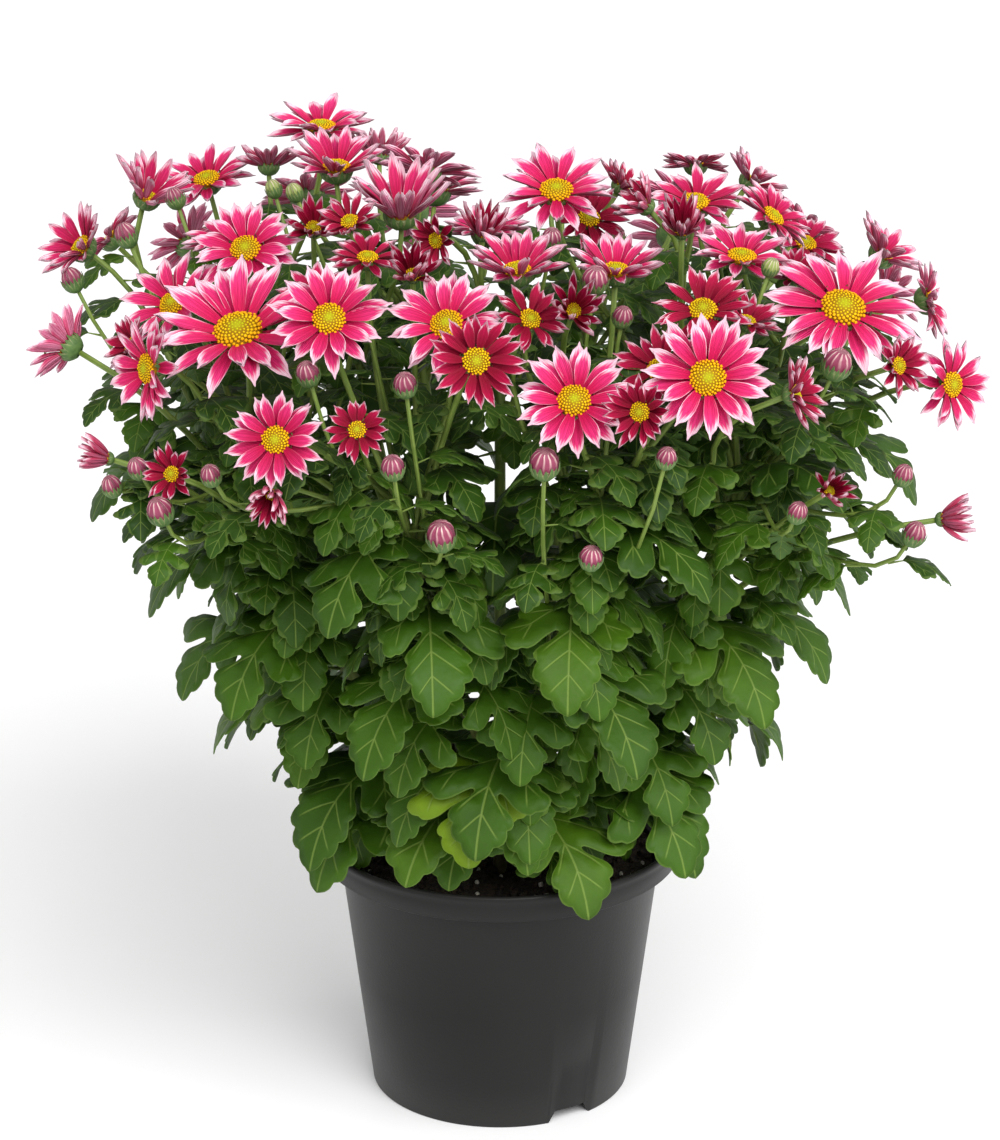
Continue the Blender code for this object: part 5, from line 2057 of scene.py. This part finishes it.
@dataclass
class Pot:
    """The nursery pot: stepped collar, thin lip, tapered wall, notched foot and drain holes."""

    rim: float = 70 * MM
    height: float = 105 * MM
    foot: float = 49.2 * MM
    shoulder: float = 61.2 * MM
    collar: float = 11 * MM
    wall: float = 1.5 * MM
    floor: float = 5.5 * MM
    columns: int = 144
    notches: tuple[float, ...] = (33.0, 213.0)
    notch_width: float = 18.6 * MM
    notch_taper: float = 0.72
    notch_height: float = 4.7 * MM
    drains: int = 6
    drain_turn: float = 20.0
    drain_circle: float = 36 * MM
    drain: float = 4 * MM

    def wall_radius(self, height: float) -> float:
        """Outer radius of the tapered body at a height under the collar."""
        top = self.height - self.collar
        return self.foot + (self.shoulder - self.foot) * height / top

    def inside_radius(self, height: float) -> float:
        """Inner radius of the body at a height between its floor and its shoulder."""
        low, high = self.floor + self.wall, self.height - self.collar + self.wall
        share = (height - low) / (high - low)
        return self.wall_radius(low) + (self.shoulder - self.wall_radius(low)) * share - self.wall

    def profile(self) -> Array:
        """(radius, height) rows from under the floor, round the foot and lip, to its top."""
        shoulder, top = self.height - self.collar, self.height
        floor = self.floor + self.wall
        return np.array(
            (
                (self.wall_radius(self.floor) - self.wall, self.floor),
                (self.foot - self.wall, 0.0),
                (self.foot - 0.25 * self.wall, 0.0),
                (self.foot, 0.4 * MM),
                (self.wall_radius(0.5 * shoulder), 0.5 * shoulder),
                (self.wall_radius(shoulder - 1.2 * MM), shoulder - 1.2 * MM),
                (self.shoulder + 0.5 * MM, shoulder - 0.1 * MM),
                (self.rim - 2.3 * MM, shoulder),
                (self.rim - 1.5 * MM, shoulder + 0.6 * MM),
                (self.rim - 0.7 * MM, shoulder + 0.6 * self.collar),
                (self.rim - 0.5 * MM, top - 2.6 * MM),
                (self.rim, top - 1.9 * MM),
                (self.rim, top - 0.7 * MM),
                (self.rim - 0.6 * MM, top),
                (self.rim - self.wall, top),
                (self.rim - 0.4 * MM - self.wall, top - 0.7 * MM),
                (self.rim - 1.5 * MM - self.wall, shoulder + self.wall + 0.6 * MM),
                (self.rim - 2.3 * MM - self.wall, shoulder + self.wall),
                (self.shoulder - self.wall + 0.6 * MM, shoulder + self.wall - 0.1 * MM),
                (self.inside_radius(shoulder - 1.2 * MM), shoulder - 1.2 * MM),
                (self.inside_radius(0.5 * shoulder), 0.5 * shoulder),
                (self.inside_radius(floor), floor),
            )
        )

    def notch(self, azimuth: Array) -> tuple[Array, Array]:
        """The foot's azimuths with columns moved onto the notches' sides, and their heights.

        Formula: the column nearest to a notch's lower corner moves there and stays down, and
        the next one inward moves to its upper corner and is raised with all between them.

        Args:
            azimuth: Even azimuths of the columns, in degrees.

        Returns:
            The moved azimuths and the heights of the foot's edge.
        """
        azimuth, lift = azimuth.copy(), np.zeros(len(azimuth))
        step = 360 / self.columns
        low = math.degrees(self.notch_width / 2 / self.foot)
        for middle in self.notches:
            for side in (-1, 1):
                corner = round((middle + side * low) / step)
                azimuth[corner % self.columns] = middle + side * low
                azimuth[(corner - side) % self.columns] = middle + side * low * self.notch_taper
            off = np.abs((azimuth - middle + 180) % 360 - 180)
            lift[off < low * (self.notch_taper + 1) / 2] = self.notch_height
        return azimuth, lift

    def wall_skin(self) -> tuple[Array, Array]:
        """The grid of the wall's points, one column for each azimuth, and its faces."""
        profile = self.profile()
        azimuth = np.arange(self.columns) * 360 / self.columns
        turns = np.broadcast_to(azimuth, (len(profile), self.columns)).copy()
        heights = np.broadcast_to(profile[:, 1:], turns.shape).copy()
        moved, lift = self.notch(azimuth)
        for row in (1, 2, 3):
            turns[row] = moved
            heights[row] = np.maximum(heights[row], lift)
        points = around(profile[:, :1], turns, heights)
        index = np.arange(turns.size).reshape(turns.shape)
        wrapped = np.concatenate((index, index[:, :1]), axis=1)
        return points.reshape(-1, 3), grid_faces(wrapped)

    def floor_skin(self, height: float, radius: float, up: bool) -> tuple[Array, Array]:
        """One face of the floor, with its drain holes.

        Formula: the floor is cut into as many sectors as it has holes. In each, straight lines
        run from the hole's circle to the sector's border, which goes out from the middle,
        along the wall and back in.

        Args:
            height: The height of this face.
            radius: Its radius, where it meets the wall.
            up: Whether it faces up.

        Returns:
            Its points and faces; the border's points lie on those of the wall.
        """
        span = 360 / self.drains
        arc_steps = self.columns // self.drains
        inward = np.linspace(0, radius, 9)
        points, faces = [], []
        for number in range(self.drains):
            middle = self.drain_turn + span * number
            arc = np.linspace(middle - span / 2, middle + span / 2, arc_steps + 1)
            border = np.concatenate(
                (
                    around(inward[:-1], middle - span / 2, height),
                    around(radius, arc, height),
                    around(inward[-2:0:-1], middle + span / 2, height),
                )
            )
            hole = around(self.drain_circle, middle, height)
            start = hole + unit(border - hole) * self.drain
            share = np.array((0, 0.35, 1))[:, None, None]
            grid = start + (border - start) * share
            index = np.arange(grid.size // 3).reshape(grid.shape[:2])
            wrapped = np.concatenate((index, index[:, :1]), axis=1)
            faces.append(grid_faces(wrapped) + sum(len(part) for part in points))
            points.append(grid.reshape(-1, 3))
        joined = np.concatenate(faces)
        return np.concatenate(points), joined if up else joined[:, ::-1]

    def skin(self) -> Skin:
        """The whole pot as one closed surface, its parts joined where their points meet."""
        floor = self.floor + self.wall
        wall, wall_faces = self.wall_skin()
        below, below_faces = self.floor_skin(
            self.floor, self.wall_radius(self.floor) - self.wall, up=False
        )
        above, above_faces = self.floor_skin(floor, self.inside_radius(floor), up=True)
        first, second = len(wall), len(wall) + len(below)
        ring = len(below) // self.drains
        size = ring // 3
        start = np.arange(self.drains)[:, None] * ring + np.arange(size)
        after = np.roll(start, -1, axis=1)
        holes = np.stack(
            (start + second, after + second, after + first, start + first), axis=-1
        ).reshape(-1, 4)
        points = np.concatenate((wall, below, above))
        faces = np.concatenate((wall_faces, below_faces + first, above_faces + second, holes))
        _, keep, same = np.unique(
            points.round(6), axis=0, return_index=True, return_inverse=True
        )
        faces = same.reshape(-1)[faces]
        marks = np.zeros((len(keep), len(MARKS)))
        return Skin(points[keep], faces, marks)

    def build(self) -> None:
        """Makes the pot in place of its solid."""
        finish = PlasticFinish("pot_plastic", roughness=0.34, specular=0.20)
        piece = make_piece("pot_body", [self.skin()], [finish.material()])
        show(piece, "pot_plastic", "pot")


@dataclass
class Soil:
    """The potting mix: a low lumpy mound with crumbs and perlite, down to the pot's floor."""

    pot: Pot
    edge: float = 92 * MM
    mound: float = 4 * MM
    gap: float = 0.3 * MM
    rings: int = 34
    columns: int = 120
    crumbs: int = 420
    grains: int = 70

    def height(self, x: Array, y: Array) -> Array:
        """Height of the soil's top.

        Formula: a parabola for the mound, the solid's three slanted waves, and finer waves of
        sines of sines for the crumb.
        """
        radius = np.hypot(x, y) / self.pot.inside_radius(self.edge)
        waves = (
            np.sin(310 * x + 120 * y)
            + np.sin(190 * y - 260 * x + 1.3)
            + np.sin(410 * y + 90 * x + 2.1)
        )
        fine = np.sin(1450 * x + 2.0 * np.sin(1700 * y)) * np.sin(1610 * y + 2.0 * np.sin(1330 * x))
        return self.edge + self.mound * (1 - radius**2) + 0.4 * MM * waves + 0.45 * MM * fine

    def body(self) -> Skin:
        """The soil as one closed turned surface with its top raised by the height formula."""
        bottom = self.pot.floor + self.pot.wall + self.gap
        reach = self.pot.inside_radius(self.edge) - self.gap
        top = reach * np.linspace(1, 0, self.rings + 1) ** 0.9
        low = (
            (0.0, bottom),
            (self.pot.inside_radius(bottom) - self.gap - 0.5 * MM, bottom),
            (self.pot.inside_radius(0.5 * self.edge) - self.gap - 0.5 * MM, 0.5 * self.edge),
        )
        profile = np.concatenate((low, np.stack((top, np.full(len(top), self.edge)), axis=1)))
        skin = turned(profile, self.columns, 0.0, 0)
        raised = skin.points[:, 2] > self.edge - MM
        x, y = skin.points[raised, 0], skin.points[raised, 1]
        skin.points[raised, 2] = self.height(x, y)
        return skin

    def lumps(self, count: int, size: tuple[float, float], seed: int, material: int) -> Skin:
        """Small lumps that lie half sunk on the top.

        Formula: each is a six-sided ball of three rings whose points are pushed in and out
        at random, at a random place whose radius is the root of an even draw.

        Args:
            count: How many lumps.
            size: Least and greatest radius.
            seed: Seed of the random draws.
            material: The number of their material.

        Returns:
            The skin of the lumps.
        """
        draws = np.random.default_rng(seed)
        ball = turned(
            np.array(((0, -1), (0.75, -0.66), (1, 0), (0.75, 0.66), (0, 1)), float), 6, 0, 0
        )
        rough = 1 + draws.uniform(-0.28, 0.28, (count, len(ball.points), 1))
        scale = draws.uniform(*size, (count, 1, 1)) * draws.uniform(0.65, 1.0, (count, 1, 3))
        points = spun(ball.points * rough * scale, draws.uniform(0, 6.3, count))
        radius = (self.pot.inside_radius(self.edge) - 2.5 * MM) * np.sqrt(draws.uniform(size=count))
        place = around(radius, draws.uniform(0, 360, count), 0.0)
        place[:, 2] = self.height(place[:, 0], place[:, 1]) + 0.35 * scale.mean(axis=(1, 2))
        return Skin.repeated(points + place[:, None], ball.faces, ball.marks, material)

    def build(self) -> None:
        """Makes the soil in place of its solid."""
        skins = [
            self.body(),
            self.lumps(self.crumbs, (0.8 * MM, 2.4 * MM), 21, 0),
            self.lumps(self.grains, (0.6 * MM, 1.5 * MM), 22, 1),
        ]
        soil = SoilFinish("potting_soil", roughness=0.9).material()
        perlite = GrainFinish("perlite", roughness=0.85).material()
        piece = make_piece("soil_top", skins, [soil, perlite])
        show(piece, "potting_soil", "soil")


@dataclass
class Flowers:
    """All blooms, young heads and buds, with the materials that they share."""

    petal: Finish = PetalFinish("petals", roughness=0.5, specular=0.2)
    floret: Finish = FloretFinish("disc_florets", roughness=0.6, specular=0.12)
    bract: Finish = BractFinish("calyx_scales", roughness=0.55)
    furled: Finish = BudFinish("bud_petals", roughness=0.5)

    def __post_init__(self) -> None:
        """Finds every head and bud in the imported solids."""
        self.blooms = [
            Head.found(row, number, SOLIDS[f"bloom_{number:02d}"])
            for number, row in enumerate(BLOOMS, start=1)
        ]
        self.young = [
            Head.found(row, number, None)
            for number, row in enumerate(YOUNG, start=len(BLOOMS) + 1)
        ]
        self.buds = [Bud.found(row, number) for number, row in enumerate(BUDS)]
        LOG.info("found %d blooms, %d young, %d buds", *map(len, (BLOOMS, YOUNG, BUDS)))

    def routes(self) -> list[tuple[int, Array, float]]:
        """The leafy stem, control points and radius of every stalk, as the solids have them."""
        stalks, found = Stalks(), []
        wide, slim = stalks.head_radius, stalks.bud_radius
        for head in self.blooms:
            tip = head.place.slid(-(head.shape.depth * head.radius + stalks.gap)).origin
            found.append((tip, head.place.up, wide))
        found += [(head.place.origin, head.place.up, wide) for head in self.young]
        found += [(bud.place.origin, bud.place.up, slim) for bud in self.buds]
        return [
            (RULES.stem_of(RULES.nearest(tip)), stalks.find(RULES, tip, up, thick), thick)
            for tip, up, thick in found
        ]

    def build(self) -> None:
        """Makes a piece for each bloom, and one with the young heads and buds of each stem."""
        materials = [
            finish.material() for finish in (self.petal, self.floret, self.bract, self.furled)
        ]
        for number, head in enumerate(self.blooms, start=1):
            piece = make_piece(f"flower_{number:02d}", head.skins(0, 1, 2), materials[:3])
            show(piece, "petals", f"bloom_{number:02d}")
        for stem in range(RULES.stems):
            node = f"leafy_stem_{stem + 1}"
            heads = [head for head in self.young if Head.stem_node(head.place) == node]
            buds = [bud for bud in self.buds if Head.stem_node(bud.place) == node]
            skins = [skin for head in heads for skin in head.skins(0, 1, 2)]
            skins += [skin for bud in buds for skin in bud.skins(3, 2)]
            piece = make_piece(f"young_heads_{stem + 1}", skins, materials)
            show(piece, "petals", node)


@dataclass
class Foliage:
    """The five leafy stems: ribbed branches, stalks and lobed leaves."""

    flowers: Flowers
    stem: Finish = StemFinish("stems", roughness=0.5)
    five: Finish = LeafFinish("leaf_blades", roughness=0.46, specular=0.20)
    three: Finish = LeafFinish("leaf_blades_3", roughness=0.46, specular=0.20, cut=Cut.THREE)
    steps: int = 13
    slim: float = 0.86
    heights: tuple[float, ...] = (0.10, 0.19, 0.30)
    tints: tuple[float, ...] = (0.62, 0.48, 0.16)
    tint_spread: float = 0.11
    fresh_share: float = 0.07
    fresh_tint: float = 0.35

    def branch_skins(self, stem: int) -> list[Skin]:
        """A main stem and its two side branches as ribbed tubes along their curves."""
        share = np.linspace(0, 1, self.steps)
        skins = []
        for branch in (3 * stem, 3 * stem + 1, 3 * stem - 1):
            path = RULES.curve(branch % len(RULES.branches), share)[None]
            thick = (2.6, 1.9) if RULES.side_of(branch) else (3.0, 2.2)
            radius = np.interp(share, (0, 1), thick) * MM * self.slim
            skins.append(tubes(path, radius, 10, 1.0, 2, rib=0.06))
        return skins

    def tint_of(self, leaf: Leaf) -> float:
        """A leaf's tint: deep green high up, brighter low down, and some low ones yellow green.

        Formula: it falls with the height of the leaf's root, and a random draw of the leaf's
        seed is added.
        """
        draws = np.random.default_rng(900 + leaf.seed)
        tint = np.interp(leaf.root[2], self.heights, self.tints)
        is_fresh = draws.uniform() < self.fresh_share and leaf.root[2] < self.heights[1]
        fresh = self.fresh_tint if is_fresh else 0.0
        return float(np.clip(tint + self.tint_spread * draws.normal() + fresh, 0.0, 1.0))

    def leaves(self, routes: Sequence[Array]) -> list[Leaf]:
        """The leaves of the solids and those that fill in between them, each with its tint."""
        found = [leaf for branch in RULES.branches for leaf in SOLID_LEAVES.found(branch)]
        LOG.info("found %d leaves of the solids", len(found))
        grown = list(Filling().grown(routes))
        LOG.info("grew %d more leaves", len(grown))
        for leaf in (*found, *grown):
            leaf.tint = self.tint_of(leaf)
        return [*found, *grown]

    def build(self) -> None:
        """Makes a piece for each leafy stem in place of its solid."""
        materials = [finish.material() for finish in (self.five, self.three, self.stem)]
        routes = self.flowers.routes()
        leaves = self.leaves([route for _, route, _ in routes])
        for stem in range(RULES.stems):
            node = f"leafy_stem_{stem + 1}"
            skins = self.branch_skins(stem)
            for thick in (Stalks.head_radius, Stalks.bud_radius):
                own = [route for number, route, wide in routes if number == stem and wide == thick]
                if own:
                    radii = thick * self.slim * np.linspace(1.2, 0.95, 9)
                    skins.append(tubes(cubic(np.array(own), 9), radii, 8, 0.2, 2, rib=0.05))
            for leaf in leaves:
                if RULES.stem_of(RULES.nearest(leaf.root)) == stem:
                    skins += leaf.skins(0, 2)
            piece = make_piece(f"leafy_shoots_{stem + 1}", skins, materials)
            show(piece, "foliage", node)


@dataclass
class Studio:
    """The pale floor, soft lights and the camera at the photograph's view."""

    camera_place: tuple[float, float, float] = (0.0, -1.6, 0.802)
    pitch: float = 20.38
    lens: float = 144.2
    sensor: float = 36.0
    floor_size: float = 14.0
    fill: float = 0.64
    sun_power: float = 2.6
    sun_angle: float = 40.0
    sun_tilt: float = 48.0
    sun_turn: float = 24.0
    aim: tuple[float, float, float] = (0.0, 0.0, 0.2)

    def floor(self) -> None:
        """A wide flat floor, whose edges lie out of sight."""
        half = self.floor_size / 2
        grid = np.array([(x, y, 0.0) for y in (-half, half) for x in (-half, half)])
        skin = Skin(grid, np.array(((0, 1, 3, 2),)), np.zeros((4, len(MARKS))))
        piece = make_piece("floor", [skin], [FloorFinish("floor", roughness=0.9).material()])
        piece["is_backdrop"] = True

    def camera(self) -> None:
        """Stands the camera in front of the plant and tips it down by its pitch."""
        data = bpy.data.cameras.new("camera")
        data.sensor_fit = "AUTO"
        data.sensor_width = self.sensor
        data.lens = self.lens
        camera = bpy.data.objects.new("camera", data)
        camera.location = self.camera_place
        camera.rotation_euler = (math.radians(90 - self.pitch), 0, 0)
        bpy.context.scene.collection.objects.link(camera)
        bpy.context.scene.camera = camera

    def lamp(self, name: str, place: Sequence[float], size: float, power: float) -> None:
        """A square soft light that faces the plant.

        Args:
            name: The light's name.
            place: Where it hangs, in metres.
            size: The length of its side.
            power: Its power in watts.
        """
        data = bpy.data.lights.new(name, "AREA")
        data.size = size
        data.energy = power
        lamp = bpy.data.objects.new(name, data)
        toward = np.array(self.aim) - np.array(place)
        turn = math.degrees(math.atan2(toward[1], toward[0]))
        drop = math.degrees(math.atan2(math.hypot(toward[0], toward[1]), -toward[2]))
        lamp.location = place
        lamp.rotation_euler = (math.radians(drop), 0, math.radians(turn - 90))
        bpy.context.scene.collection.objects.link(lamp)

    def sun(self) -> None:
        """A wide soft sun from the upper front, which also lights the far floor evenly."""
        data = bpy.data.lights.new("sun", "SUN")
        data.angle = math.radians(self.sun_angle)
        data.energy = self.sun_power
        sun = bpy.data.objects.new("sun", data)
        sun.rotation_euler = (math.radians(self.sun_tilt), 0, math.radians(self.sun_turn))
        bpy.context.scene.collection.objects.link(sun)

    def world(self) -> None:
        """An even pale surround that fills the shadows, and is white where it is seen."""
        world = bpy.data.worlds.new("surround")
        world.use_nodes = True
        nodes = Nodes(world.node_tree)
        glow = world.node_tree.nodes["Background"]
        glow.inputs["Color"].default_value = (1.0, 1.0, 1.0, 1.0)
        seen = nodes.add("LightPath", {}, "Is Camera Ray")
        strength = nodes.times_plus(seen, 1.0 - self.fill, self.fill)
        world.node_tree.links.new(strength, glow.inputs["Strength"])
        bpy.context.scene.world = world

    def build(self) -> None:
        """Sets the stage."""
        self.floor()
        self.camera()
        self.world()
        self.sun()
        self.lamp("key_light", (-0.9, -1.7, 1.7), 1.4, 16.0)
        self.lamp("side_light", (1.8, -0.5, 1.0), 1.2, 14.0)
        bpy.context.scene.view_settings.view_transform = "Standard"


RULES = Branching()
LEAF = LeafShape()
BLADES = {
    (cut, fine): Blade.made(cut, 0.06 if fine else 0.11, fine)
    for cut in Cut
    for fine in (True, False)
}
SOLID_LEAVES = SolidLeaves()
SOLIDS = {name: PackedSolid(name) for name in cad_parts}


def main() -> None:
    """Builds every sub-assembly in turn and reports it."""
    logging.basicConfig(level=logging.INFO, format="%(message)s")
    pot = Pot()
    pot.build()
    Soil(pot).build()
    flowers = Flowers()
    flowers.build()
    Foliage(flowers).build()
    Studio().build()
    boxes = {"cad": CAD_BOX, "visual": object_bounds()}
    {name: [list(corner) for corner in box] for name, box in boxes.items()}


if __name__ == "__main__":
    main()
